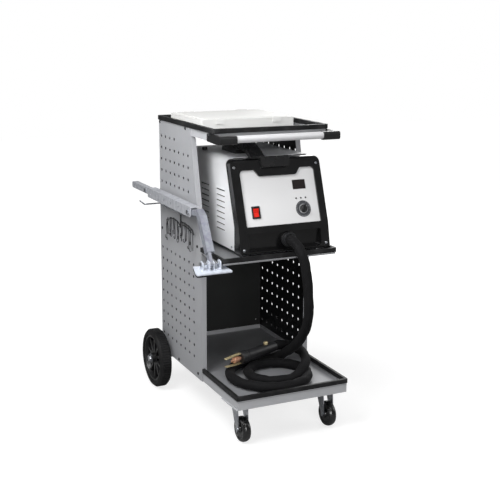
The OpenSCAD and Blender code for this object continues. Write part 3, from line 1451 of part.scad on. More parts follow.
side_panel_left();
side_panel_right();
back_panel();
lower_tray();
mid_shelf();
top_tray();
lower_tray_trim();
mid_shelf_trim();
top_tray_trim();
push_handle();
handle_brackets();
trolley_screws();
rear_axle();
axle_brackets();
axle_caps();
rear_hub_left();
rear_tyre_left();
rear_hub_right();
rear_tyre_right();
caster_plates();
caster_fork_left();
caster_wheel_left();
caster_fork_right();
caster_wheel_right();
welder_base();
rubber_feet();
welder_cover();
front_bezel();
rear_panel();
control_panel();
display_window();
indicator_lamps();
dial_knob();
switch_frame();
switch_rocker();
carry_handle();
welder_screws();
cable_outlet();
mains_gland();
transformer();
control_board();
fan_frame();
fan_rotor();
cable_drop();
cable_coil();
cable_tail();
gun_body();
gun_prongs();
gun_electrode();
gun_button();
box_base();
box_lid();
lever_bar();
lever_leg();
leg_bolt();
foot_plate();
foot_pad();
foot_pin();
peg_hooks();
claw_puller();
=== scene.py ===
"""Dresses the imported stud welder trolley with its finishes, cable, tyres and small fittings."""

import json
import logging
from math import atan2, cos, degrees, pi, radians, sin
from dataclasses import dataclass
from enum import Enum
from typing import Callable, Optional, Sequence

import bmesh
import bpy
from mathutils import Matrix, Vector


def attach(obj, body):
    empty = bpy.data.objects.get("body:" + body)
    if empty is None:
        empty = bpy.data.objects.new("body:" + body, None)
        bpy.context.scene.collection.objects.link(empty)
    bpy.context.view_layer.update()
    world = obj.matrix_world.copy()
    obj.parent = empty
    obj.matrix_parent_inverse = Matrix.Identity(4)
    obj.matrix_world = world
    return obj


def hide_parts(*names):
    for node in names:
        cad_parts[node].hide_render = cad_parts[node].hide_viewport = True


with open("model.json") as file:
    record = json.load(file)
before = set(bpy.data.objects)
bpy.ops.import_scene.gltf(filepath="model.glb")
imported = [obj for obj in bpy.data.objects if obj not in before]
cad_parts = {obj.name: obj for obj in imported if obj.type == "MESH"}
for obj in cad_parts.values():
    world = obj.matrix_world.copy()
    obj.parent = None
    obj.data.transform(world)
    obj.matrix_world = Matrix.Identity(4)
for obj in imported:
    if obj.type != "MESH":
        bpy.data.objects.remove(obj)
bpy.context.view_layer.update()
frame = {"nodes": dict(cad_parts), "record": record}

logging.basicConfig(level=logging.INFO, format="%(levelname)s %(name)s: %(message)s")
LOG = logging.getLogger("trolley")

Node = bpy.types.Node
Socket = bpy.types.NodeSocket
Piece = bpy.types.Object
Point = tuple[float, float, float]
Pair = tuple[float, float]
Inputs = dict[object, object]

# Middle of the trolley's width at the panels' back edges, in the part's frame, in metres.
TROLLEY_ZERO = Vector((0.01375, 0.22175, 0.0))


def at(x: float, y: float, z: float) -> Vector:
    """Turns millimetres in the trolley's own axes into metres in the part's frame."""
    return Vector((x, y, z)) / 1000.0 + TROLLEY_ZERO


class Side(Enum):
    """The two sides of the trolley."""

    LEFT = -1
    RIGHT = 1


class Body(Enum):
    """The rigid bodies that the new pieces ride on."""

    TROLLEY = "trolley"
    REAR_LEFT = "rear_wheel_left"
    REAR_RIGHT = "rear_wheel_right"
    KNOB = "knob"
    ROCKER = "rocker"
    LEG = "leg"
    FOOT = "foot"


# ----- shader helpers


def linear(colour: str) -> tuple[float, float, float, float]:
    """Turns an sRGB hex colour into linear values.

    Args:
        colour: Hex digits such as "#a0a1a4".

    Returns:
        Linear red, green and blue, and an alpha of one.
    """
    parts = [int(colour[i : i + 2], 16) / 255.0 for i in (1, 3, 5)]
    curve = (c / 12.92 if c <= 0.04045 else ((c + 0.055) / 1.055) ** 2.4 for c in parts)
    return (*curve, 1.0)


class Net:
    """The nodes of one material or world, and its shader if it has one."""

    def __init__(self, owner: bpy.types.ID) -> None:
        """Turns on the owner's nodes and clears them."""
        owner.use_nodes = True
        self.tree = owner.node_tree
        self.tree.nodes.clear()
        self.shader: Optional[Node] = None

    def give(self, node: Node, inputs: Inputs) -> None:
        """Sets a node's inputs to values, or links them to the sockets that feed them."""
        for key, value in inputs.items():
            if isinstance(value, Socket):
                self.tree.links.new(value, node.inputs[key])
            else:
                node.inputs[key].default_value = value

    def add(self, kind: str, inputs: Optional[Inputs] = None, **settings: object) -> Node:
        """Adds a node with its settings and links.

        Args:
            kind: The node's type name, without its "ShaderNode".
            inputs: Input name or number to a value, or to the output socket that feeds it.
            **settings: Properties of the node.

        Returns:
            The new node.
        """
        node = self.tree.nodes.new("ShaderNode" + kind)
        for key, value in settings.items():
            setattr(node, key, value)
        self.give(node, inputs or {})
        return node

    def feed(self, name: str, value: object) -> None:
        """Gives one of the shader's inputs a value or a socket."""
        self.give(self.shader, {name: value})

    def reckon(self, operation: str, *values: object) -> Socket:
        """Adds a math node over values and sockets, and returns its result."""
        return self.add("Math", dict(enumerate(values)), operation=operation).outputs[0]

    def noise(self, where: Socket, scale: float, detail: float, distortion: float = 0.0) -> Socket:
        """Adds a noise pattern and returns its height."""
        return self.add("TexNoise", {
            "Vector": where, "Scale": scale, "Detail": detail, "Distortion": distortion,
        }).outputs[0]

    def spread(
        self, value: Socket, start: float, end: float, low: float = 0.0, high: float = 1.0
    ) -> Socket:
        """Maps the range from start to end on to the range from low to high."""
        return self.add("MapRange", {0: value, 1: start, 2: end, 3: low, 4: high}).outputs[0]

    def place(self, stretch: Sequence[float] = (1.0, 1.0, 1.0)) -> Socket:
        """Returns object coordinates in metres, stretched along each axis."""
        where = self.add("TexCoord").outputs["Object"]
        return self.add("Mapping", {"Vector": where, "Scale": stretch}).outputs[0]

    def axes(self, zero: Sequence[float] = (0.0, 0.0, 0.0)) -> tuple[Socket, Socket, Socket]:
        """Returns a place's X, Y and Z in metres, counted from a zero point."""
        where = self.add("TexCoord").outputs["Object"]
        own = self.add("VectorMath", {0: where, 1: tuple(zero)}, operation="SUBTRACT")
        return tuple(self.add("SeparateXYZ", {0: own.outputs[0]}).outputs)

    def blend(self, mask: Socket, first: object, second: str) -> None:
        """Colours the shader by two colours, mixed by a mask."""
        mix = self.add("Mix", {0: mask, 6: first, 7: linear(second)}, data_type="RGBA")
        self.feed("Base Color", mix.outputs[2])


# ----- finishes

# Length of one wave of a wave texture at a scale of one.
WAVE_MM = 314.16


@dataclass(frozen=True)
class Finish:
    """A surface: what it is made of and how it was made."""

    name: str
    colour: str
    roughness: float = 0.5
    metallic: float = 0.0

    def make(self) -> bpy.types.Material:
        """Returns the material, made once."""
        known = bpy.data.materials.get(self.name)
        if known is not None:
            return known
        material = bpy.data.materials.new(self.name)
        net = Net(material)
        net.shader = net.add("BsdfPrincipled", {
            "Base Color": linear(self.colour),
            "Roughness": self.roughness,
            "Metallic": self.metallic,
        })
        net.add("OutputMaterial", {"Surface": net.shader.outputs[0]})
        self.dress(net)
        return material

    def dress(self, net: Net) -> None:
        """Adds this finish's own patterns to the shader."""

    def shade_between(self, net: Net, mask: Socket, other: str) -> None:
        """Blends the base colour towards another one by a mask."""
        net.blend(mask, linear(self.colour), other)

    def paint_over(self, net: Net, mask: Socket, cover: str) -> None:
        """Paints a second colour over the finished one where a mask is one."""
        net.blend(mask, net.shader.inputs["Base Color"].links[0].from_socket, cover)

    def rough_between(self, net: Net, mask: Socket, less: float, more: float) -> None:
        """Spreads the roughness by a mask, round this finish's own."""
        low = max(self.roughness - less, 0.03)
        net.feed("Roughness", net.spread(mask, 0.3, 0.7, low, self.roughness + more))

    def raise_by(self, net: Net, height: Socket, strength: float, depth_mm: float) -> None:
        """Turns a height pattern into a bump of a depth in millimetres."""
        bump = net.add("Bump", {
            "Height": height, "Strength": strength, "Distance": depth_mm / 1000.0,
        })
        net.feed("Normal", bump.outputs[0])


@dataclass(frozen=True)
class PowderCoat(Finish):
    """Baked powder paint on sheet steel: an even, finely pebbled film."""

    grit_mm: float = 1.2
    relief: float = 0.35
    shade: str = "#8b8c90"

    def dress(self, net: Net) -> None:
        """Adds the film's pebble and a faint cloudiness."""
        where = net.place()
        pebble = net.noise(where, 1000.0 / self.grit_mm, 2.0)
        cloud = net.noise(where, 9.0, 3.0)
        self.shade_between(net, net.spread(cloud, 0.35, 0.75, 0.0, 0.6), self.shade)
        self.rough_between(net, pebble, 0.06, 0.1)
        self.raise_by(net, pebble, self.relief, 0.12)


@dataclass(frozen=True)
class PanelPaint(PowderCoat):
    """Side panel paint: silver on the faces that show; black towards the bays and in the holes, as
    painted shade.
    """

    # Painted shade: the near black that stands for the dark inside of the bays and the holes.
    inside: str = "#101112"
    web_mm: float = 179.85
    depth_mm: float = 341.0
    lean_mm: float = 520.0
    lean: float = 0.2303
    back_mm: float = -0.2

    def dress(self, net: Net) -> None:
        """Paints the web's inner face and the back of the leaning flange black, as painted shade.
        """
        super().dress(net)
        x, y, z = net.axes(TROLLEY_ZERO)
        inner = net.reckon("LESS_THAN", net.reckon("ABSOLUTE", x), self.web_mm / 1000.0)
        rise = net.reckon("MAXIMUM", net.reckon("SUBTRACT", z, self.lean_mm / 1000.0), 0.0)
        edge = net.reckon("MULTIPLY_ADD", rise, self.lean, -self.depth_mm / 1000.0)
        ahead = net.reckon("LESS_THAN", y, self.back_mm / 1000.0)
        between = net.reckon("MULTIPLY", net.reckon("GREATER_THAN", y, edge), ahead)
        self.paint_over(net, net.reckon("MULTIPLY", inner, between), self.inside)


@dataclass(frozen=True)
class CasePaint(PowderCoat):
    """Case paint: near white outside; black inside and in the louvres' slots, as painted shade for
    the dark inside of the case.
    """

    # Painted shade: the near black that stands for the dark inside of the case, seen through the
    # louvres.
    inside: str = "#121212"
    middle_mm: float = 28.0
    half_mm: float = 133.85
    shoulder_mm: float = 776.0

    def dress(self, net: Net) -> None:
        """Paints everything within the side walls, below the rounded shoulders, black: painted
        shade.
        """
        super().dress(net)
        x, _, z = net.axes(at(self.middle_mm, 0.0, 0.0))
        inner = net.reckon("LESS_THAN", net.reckon("ABSOLUTE", x), self.half_mm / 1000.0)
        low = net.reckon("LESS_THAN", z, self.shoulder_mm / 1000.0)
        self.paint_over(net, net.reckon("MULTIPLY", inner, low), self.inside)


@dataclass(frozen=True)
class TrayPaint(PowderCoat):
    """Tray paint: silver on the skirts and lips, darker on the floors as painted shade."""

    # Painted shade on the floors of the two lower trays.
    painted_floor_shade: str = "#7d7e81"
    floors_mm: Pair = (140.0, 517.0)
    band_mm: float = 0.6

    def dress(self, net: Net) -> None:
        """Darkens the top faces of the two lower floors: painted shade."""
        super().dress(net)
        _, _, z = net.axes()
        band = self.band_mm / 1000.0
        near = [net.reckon("COMPARE", z, floor / 1000.0, band) for floor in self.floors_mm]
        self.paint_over(net, net.reckon("MAXIMUM", *near), self.painted_floor_shade)


@dataclass(frozen=True)
class MouldedPlastic(Finish):
    """Injection moulded ABS or polyamide with a fine spark-eroded texture."""

    grain_mm: float = 0.9
    relief: float = 0.25
    gloss: float = 0.0

    def dress(self, net: Net) -> None:
        """Adds the mould's texture and, on gloss parts, a clear top layer."""
        where = net.place()
        grain = net.noise(where, 1000.0 / self.grain_mm, 3.0)
        handled = net.noise(where, 22.0, 4.0)
        self.rough_between(net, handled, 0.07, 0.08)
        self.raise_by(net, grain, self.relief, 0.08)
        net.feed("IOR", 1.53)
        if self.gloss > 0.0:
            net.feed("Coat Weight", self.gloss)
            net.feed("Coat Roughness", 0.06)


@dataclass(frozen=True)
class Rubber(Finish):
    """Extruded or moulded rubber: deep black and dull, with a dusty bloom."""

    bloom: str = "#2b2b2c"
    skin_mm: float = 0.8

    def dress(self, net: Net) -> None:
        """Adds the bloom and a fine skin."""
        net.feed("Specular IOR Level", 0.25)
        where = net.place()
        dust = net.noise(where, 30.0, 5.0)
        skin = net.noise(where, 1000.0 / self.skin_mm, 2.0)
        self.shade_between(net, net.spread(dust, 0.45, 0.75), self.bloom)
        self.rough_between(net, dust, 0.08, 0.1)
        self.raise_by(net, skin, 0.3, 0.1)


@dataclass(frozen=True)
class ZincPlate(Finish):
    """Zinc plate on pressed steel: a cool metal with soft passivation patches."""

    patch: str = "#9ea1a8"
    patch_mm: float = 14.0
    mark_mm: float = 1.1

    def dress(self, net: Net) -> None:
        """Adds the passivation patches and fine drawing marks."""
        where = net.place()
        patches = net.noise(where, 1000.0 / self.patch_mm, 4.0)
        marks = net.noise(where, 1000.0 / self.mark_mm, 2.0)
        self.shade_between(net, net.spread(patches, 0.4, 0.7), self.patch)
        self.rough_between(net, patches, 0.05, 0.14)
        self.raise_by(net, marks, 0.2, 0.05)


@dataclass(frozen=True)
class BrushedTube(Finish):
    """Satin anodised aluminium tube, its draw lines running along the X axis."""

    def dress(self, net: Net) -> None:
        """Adds lines 0.5 mm apart, drawn that coarse so that they show."""
        lines = net.noise(net.place((6.0, 2000.0, 2000.0)), 1.0, 3.0)
        self.rough_between(net, lines, 0.05, 0.12)
        self.raise_by(net, lines, 0.15, 0.05)


@dataclass(frozen=True)
class WovenSleeve(Finish):
    """Woven polyester sleeve: two sets of flat threads that cross on the slant."""

    thread_mm: float = 5.9218
    high: str = "#151517"

    def dress(self, net: Net) -> None:
        """Adds the crossing threads, drawn coarser so that they show."""
        chart = net.add("UVMap", uv_map="sleeve").outputs[0]
        heights = []
        for lean in (1.0, -1.0):
            slanted = net.add("Mapping", {
                "Vector": chart, "Rotation": (0.0, 0.0, lean * radians(45.0)),
            })
            wave = net.add("TexWave", {
                "Vector": slanted.outputs[0], "Scale": WAVE_MM / self.thread_mm,
                "Distortion": 0.6, "Detail": 1.0,
            }, wave_type="BANDS", bands_direction="X")
            heights.append(wave.outputs["Fac"])
        cross = net.reckon("MAXIMUM", *heights)
        fluff = net.noise(chart, 60.0, 5.0)
        self.shade_between(net, net.reckon("MULTIPLY", cross, fluff), self.high)
        self.raise_by(net, cross, 0.6, 0.5)
        net.feed("Specular IOR Level", 0.14)
        net.feed("Sheen Weight", 0.02)
        net.feed("Sheen Roughness", 0.5)


@dataclass(frozen=True)
class FrostedClear(Finish):
    """Clear polypropylene with a frosted inside: milky, and bright along its edges."""

    cover: float = 0.7

    def dress(self, net: Net) -> None:
        """Thins the plastic where it is seen face on and adds faint flow marks."""
        flow = net.noise(net.place(), 26.0, 3.0, distortion=1.5)
        edge = net.add("LayerWeight", {"Blend": 0.35})
        mask = net.spread(edge.outputs["Facing"], 0.0, 1.0, self.cover, 0.95)
        net.feed("Alpha", mask)
        self.rough_between(net, flow, 0.02, 0.08)
        net.feed("IOR", 1.49)
        net.feed("Specular IOR Level", 0.3)


@dataclass(frozen=True)
class WornMetal(Finish):
    """Turned brass and copper, browned in patches."""

    tarnish: str = "#8a6a34"

    def dress(self, net: Net) -> None:
        """Adds the browned patches and turning marks."""
        brown = net.noise(net.place(), 160.0, 5.0)
        self.shade_between(net, net.spread(brown, 0.5, 0.75), self.tarnish)
        self.rough_between(net, brown, 0.06, 0.2)
        self.raise_by(net, brown, 0.2, 0.1)


@dataclass(frozen=True)
class LaminatedCore(Finish):
    """Stacked steel sheets under brown varnish, each sheet's edge showing as a fine line."""

    edge: str = "#4a3a2c"
    sheet_mm: float = 2.961

    def dress(self, net: Net) -> None:
        """Adds the sheets, drawn thicker so that they show."""
        where = net.place((1.0, WAVE_MM / self.sheet_mm, 1.0))
        sheets = net.add("TexWave", {"Vector": where, "Scale": 1.0}, bands_direction="Y")
        self.shade_between(net, sheets.outputs["Fac"], self.edge)
        self.raise_by(net, sheets.outputs["Fac"], 0.4, 0.3)


# Black back panel and peg hole rims: painted shade for the dark inside of the bays. Blackened steel
# of the screws and hooks.
BACK_SHADE_PAINT = PowderCoat("painted_shade_black_back_steel", "#161717", 0.5, shade="#1d1f1f")
BLACK_PAINT = PowderCoat("black_phosphate_steel", "#1c1d1f", 0.42, shade="#2a2b2d")
# Zinc-plated steel of the wheels' star washers.
CAP_ZINC = ZincPlate("dull_zinc_cap_steel", "#6f7175", 0.42, 0.8, patch="#55575b")
# The rear tyres, plain moulded plastic, the dial's prints and the cable's sleeve.
TYRE_RUBBER = Rubber("moulded_tyre_rubber", "#0c0c0d", 0.6, bloom="#1c1c1d")
BLACK_ABS = MouldedPlastic("black_moulded_abs", "#141415", 0.36)
SCALE_GREY = MouldedPlastic("grey_scale_print", "#35363a", 0.5, relief=0.05)
MARK_WHITE = MouldedPlastic("white_print", "#a9aaad", 0.45, relief=0.05)
SLEEVE = WovenSleeve("woven_polyester_sleeve", "#070708", 0.75)

SLOT_FINISHES: dict[str, Finish] = {
    # Sheet steel under baked paint: silver-grey panels, trays a shade lighter, a case near white.
    "panel_paint": PanelPaint("powder_coated_panel_steel", "#9c9da0", 0.46, shade="#939498"),
    "tray_paint": TrayPaint("powder_coated_tray_steel", "#acadb0", 0.44, shade="#a3a4a8"),
    "case_paint": CasePaint(
        "powder_coated_case_steel", "#dedfe1", 0.4, grit_mm=0.9, relief=0.25, shade="#d6d7da"
    ),
    "pan_steel": PowderCoat("powder_coated_pan_steel", "#7f8285", 0.5, shade="#75787b"),
    "black_steel": BLACK_PAINT,
    # Zinc-plated steel of the fittings and the lever's bar, and the push bar's aluminium.
    "zinc_steel": ZincPlate("bright_zinc_steel", "#c6c8cc", 0.28, 1.0),
    "lever_paint": ZincPlate("clear_zinc_lever_steel", "#bfc1c6", 0.46, 0.5, patch="#a9abb2"),
    "handle_aluminium": BrushedTube("satin_anodised_aluminium", "#d4d4d6", 0.4, 0.3),
    # Rubbers and woven sleeve.
    "trim_rubber": Rubber("extruded_edge_rubber", "#121213", 0.5),
    "tyre_rubber": TYRE_RUBBER,
    "cable_sleeve": SLEEVE,
    # Moulded plastics of the casters, the welder's front, the gun and the box.
    "caster_rubber": MouldedPlastic(
        "black_caster_polyurethane", "#0b0b0c", 0.24, relief=0.08, gloss=0.3
    ),
    "black_moulding": BLACK_ABS,
    "bezel_gloss": MouldedPlastic("gloss_black_abs", "#070708", 0.2, relief=0.08, gloss=0.5),
    "fascia_white": MouldedPlastic("white_polycarbonate_film", "#d0d0d1", 0.35, relief=0.05),
    "display_tint": MouldedPlastic("smoked_acrylic_window", "#1d1716", 0.12, relief=0.0, gloss=0.6),
    "lamp_lens": MouldedPlastic("smoked_lamp_lens", "#0e0e0e", 0.4, relief=0.0),
    "rocker_red": MouldedPlastic("red_polycarbonate", "#d3261b", 0.22, relief=0.05, gloss=0.4),
    "gun_black": MouldedPlastic(
        "black_glass_filled_nylon", "#18181a", 0.48, grain_mm=1.4, relief=0.35
    ),
    "board_green": MouldedPlastic("green_glass_epoxy", "#1f6a3a", 0.4, relief=0.1),
    "clear_plastic": FrostedClear("frosted_polypropylene", "#dededc", 0.42),
    # The gun's brass and copper, and the transformer's core.
    "brass": WornMetal("turned_brass", "#ecdcae", 0.36, 0.7, tarnish="#b99a5a"),
    "copper": WornMetal("turned_copper", "#dba98c", 0.4, 0.7, tarnish="#9c6a50"),
    "core_steel": LaminatedCore("varnished_core_laminations", "#2e241c", 0.5, 0.3),
}

# Nodes that are finished apart from the rest of their slot.
NODE_FINISHES: dict[str, Finish] = {
    # The back panel's black is painted shade.
    "back_panel": BACK_SHADE_PAINT,
    "trolley_screws": BLACK_PAINT,
    # A darker copy of the lever's zinc: painted shade on the leg.
    "lever_leg": ZincPlate("violet_zinc_leg_steel_with_painted_shade", "#989ca4", 0.46, 0.5, patch="#858592"),
    # A lighter copy of the lever's zinc: painted light on the foot plate, which faces up.
    "foot_plate": ZincPlate("blue_zinc_foot_steel_with_painted_light", "#d3d8e2", 0.48, 0.3, patch="#c0c6d0"),
    "carry_handle": MouldedPlastic(
        "satin_black_handle_abs", "#161617", 0.26, relief=0.1, gloss=0.35
    ),
}


def finish_of(node: str, slot: str) -> Finish:
    """Returns a node's own finish, or else the one of its slot."""
    return NODE_FINISHES.get(node, SLOT_FINISHES[slot])


# ----- modelling helpers


def clear_selection() -> None:
    """Deselects every object."""
    bpy.ops.object.select_all(action="DESELECT")


def hold(piece: Piece) -> None:
    """Makes one piece the selected and active object."""
    clear_selection()
    piece.select_set(True)
    bpy.context.view_layer.objects.active = piece


def edit() -> None:
    """Opens the active piece for editing."""
    bpy.ops.object.mode_set(mode="EDIT")


def pick_all() -> None:
    """Selects the whole mesh in edit mode."""
    bpy.ops.mesh.select_all(action="SELECT")


def adopt(name: str) -> Piece:
    """Names the primitive that was just added."""
    piece = bpy.context.object
    piece.name = piece.data.name = name
    return piece


def pick(piece: Piece, kind: str, test: Callable[[Vector, Vector], bool]) -> None:
    """Selects, in edit mode, faces by their centre and normal, or edges by their two ends."""
    mesh = bmesh.from_edit_mesh(piece.data)
    bpy.ops.mesh.select_mode(type=kind)
    bpy.ops.mesh.select_all(action="DESELECT")
    for item in mesh.faces if kind == "FACE" else mesh.edges:
        ends = [vert.co for vert in item.verts]
        if test(*((item.calc_center_median(), item.normal) if kind == "FACE" else ends)):
            item.select_set(True)
    bmesh.update_edit_mesh(piece.data)


def modify(piece: Piece, kind: str, **settings: object) -> None:
    """Adds a modifier with its settings and applies it."""
    hold(piece)
    modifier = piece.modifiers.new(kind.lower(), kind)
    for key, value in settings.items():
        setattr(modifier, key, value)
    bpy.ops.object.modifier_apply(modifier=modifier.name)


def settle(piece: Piece, angle: float) -> None:
    """Puts the place into the mesh and smooths the edges below an angle in degrees."""
    hold(piece)
    bpy.ops.object.transform_apply()
    bpy.ops.object.shade_smooth_by_angle(angle=radians(angle))


def turn(piece: Piece, matrix: Matrix) -> None:
    """Moves a piece's mesh by a matrix and keeps its faces outwards."""
    piece.data.transform(matrix)
    if matrix.determinant() < 0:
        piece.data.flip_normals()


def link_new(name: str, data: bpy.types.ID) -> Piece:
    """Puts a new object of a mesh, curve, lamp or camera into the scene."""
    item = bpy.data.objects.new(name, data)
    bpy.context.scene.collection.objects.link(item)
    return item


def tube(name: str, sides: int, radius: float, depth: float, **more: object) -> Piece:
    """Adds a thin round wall, its radius and depth in metres; more goes on to Blender."""
    clear_selection()
    bpy.ops.mesh.primitive_cylinder_add(
        vertices=sides, radius=radius, depth=depth, **{"end_fill_type": "NOTHING", **more}
    )
    return adopt(name)


def join(parts: Sequence[Piece], name: str) -> Piece:
    """Joins pieces into the first of them and names it."""
    clear_selection()
    for part in parts:
        part.select_set(True)
    bpy.context.view_layer.objects.active = parts[0]
    bpy.ops.object.join()
    return adopt(name)


def coat(piece: Piece, finish: Finish) -> None:
    """Gives a piece one finish and no other."""
    piece.data.materials.clear()
    piece.data.materials.append(finish.make())


def hand_over(
    piece: Piece, finish: Finish, body: Body = Body.TROLLEY,
    stands_for: Sequence[str] = (),
) -> None:
    """Finishes a piece, hides the nodes that it stands for, puts it on its body and logs it.

    Args:
        piece: The finished piece.
        finish: Its finish.
        body: The body that it rides on.
        stands_for: Names of the nodes that it replaces.
    """
    coat(piece, finish)
    for node in stands_for:
        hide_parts(node)
    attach(piece, body.value)
    LOG.info("%s on %s, %d faces", piece.name, body.value, len(piece.data.polygons))


# ----- rear wheels


@dataclass
class RearWheel:
    """A rear wheel's tyre with its cross ribs, and the star washer at its middle."""

    side: Side
    outer_mm: float = 96.0
    rib_mm: float = 1.6
    tread_mm: float = 26.0
    centre_mm: float = 209.5
    axle_y_mm: float = -24.0
    ribs: int = 72
    star_mm: float = 16.5
    star_seat_mm: float = 21.7
    bore_mm: float = 11.8
    # Radius and half width, in metres, of the shoulder, the sidewall and the inner edge.
    profile: tuple[Pair, ...] = (
        (0.0905, 0.0180), (0.0860, 0.0198), (0.0812, 0.0200), (0.0802, 0.0192), (0.0782, 0.0192),
        (0.0772, 0.0188), (0.0751, 0.0160),
    )
    # In millimetres: a rib's draft and rise, and the rounding of the tyre's edges.
    rib_form: Point = (0.3, 1.5, 0.6)
    # In millimetres: the height of the star's rim and of its dome, and its sheet.
    star_form: Point = (3.0, 1.2, 0.6)
    # How far each corner of the star reaches, from one point to the next.
    star_reach: tuple[float, ...] = (1.0, 0.9, 0.81, 0.9)

    @property
    def word(self) -> str:
        """The side's name."""
        return self.side.name.lower()

    @property
    def body(self) -> Body:
        """The body of this wheel."""
        return Body["REAR_" + self.side.name]

    def build(self) -> None:
        """Builds the tyre and the star washer."""
        self.tyre()
        self.star()

    def middle(self) -> Vector:
        """The wheel's centre in the part's frame."""
        return at(self.side.value * self.centre_mm, self.axle_y_mm, self.outer_mm)

    def tyre(self) -> None:
        """Grows the tyre from a ring and raises its ribs."""
        tread = ((self.outer_mm - self.rib_mm) / 1000.0, self.tread_mm / 2000.0)
        piece = tube("tyre_" + self.word, self.ribs * 2, tread[0], tread[1] * 2.0)
        edit()
        # Shoulders, sidewalls and the inner edge grow from the two open rims.
        for end in (1.0, -1.0):
            for last, (radius, half) in zip((tread,) + self.profile, self.profile):
                pick(piece, "EDGE", lambda a, b: all(
                    abs(end_of.z - end * last[1]) < 1e-5 and abs(end_of.xy.length - last[0]) < 1e-5
                    for end_of in (a, b)
                ))
                rise = (0, 0, end * (half - last[1]))
                bpy.ops.mesh.extrude_edges_move(TRANSFORM_OT_translate={"value": rise})
                scale = radius / last[0]
                bpy.ops.transform.resize(value=(scale, scale, 1.0), center_override=(0, 0, 0))
        # Every other strip of the tread stands up as a rib.
        draft, rise, edge = (size / 1000.0 for size in self.rib_form)
        pitch = pi / self.ribs
        pick(piece, "FACE", lambda c, n: (
            abs(c.z) < tread[1] - edge and c.xy.length > tread[0] * 0.99
            and int(round((atan2(c.y, c.x) - pitch / 2) / pitch)) % 2 == 0
        ))
        bpy.ops.mesh.inset(thickness=draft, depth=rise, use_individual=True)
        pick_all()
        bpy.ops.mesh.normals_make_consistent()
        bpy.ops.object.mode_set(mode="OBJECT")
        modify(piece, "BEVEL", width=edge, segments=1, limit_method="ANGLE",
               angle_limit=radians(50.0))
        turn(piece, Matrix.Translation(self.middle()) @ Matrix.Rotation(radians(90.0), 4, "Y"))
        settle(piece, 30.0)
        hand_over(piece, TYRE_RUBBER, self.body, ["rear_tyre_" + self.word])

    def star(self) -> None:
        """Shapes the domed star washer that stands clear round the axle's cap."""
        name = "hub_star_" + self.word
        rim, dome, sheet = (size / 1000.0 for size in self.star_form)
        piece = tube(name, 24, self.star_mm / 1000.0, rim, end_fill_type="NGON")
        edit()
        # Six points: every fourth corner stays out and the ones between draw in.
        mesh = bmesh.from_edit_mesh(piece.data)
        for vert in mesh.verts:
            step = int(round(degrees(atan2(vert.co.y, vert.co.x)) / 15.0)) % 4
            vert.co.xy *= self.star_reach[step]
        bmesh.update_edit_mesh(piece.data)
        pick(piece, "FACE", lambda c, n: n.z > 0.9)
        bpy.ops.mesh.inset(thickness=0.0008, depth=dome)
        # The raised inner edge becomes the round bore.
        mesh = bmesh.from_edit_mesh(piece.data)
        for vert in mesh.verts:
            if vert.co.z > (rim + dome) / 2.0:
                vert.co.xy *= self.bore_mm / 1000.0 / vert.co.xy.length
        bmesh.update_edit_mesh(piece.data)
        bpy.ops.mesh.delete(type="FACE")
        pick(piece, "FACE", lambda c, n: n.z < -0.9)
        bpy.ops.mesh.delete(type="FACE")
        bpy.ops.object.mode_set(mode="OBJECT")
        modify(piece, "SOLIDIFY", thickness=sheet, offset=-1.0)
        out = self.side.value
        place = Matrix.Translation(self.middle() + Vector((out * self.star_seat_mm / 1000.0, 0, 0)))
        turn(piece, place @ Matrix.Rotation(radians(90.0 * out), 4, "Y"))
        settle(piece, 25.0)
        hand_over(piece, CAP_ZINC, self.body)


# ----- cable


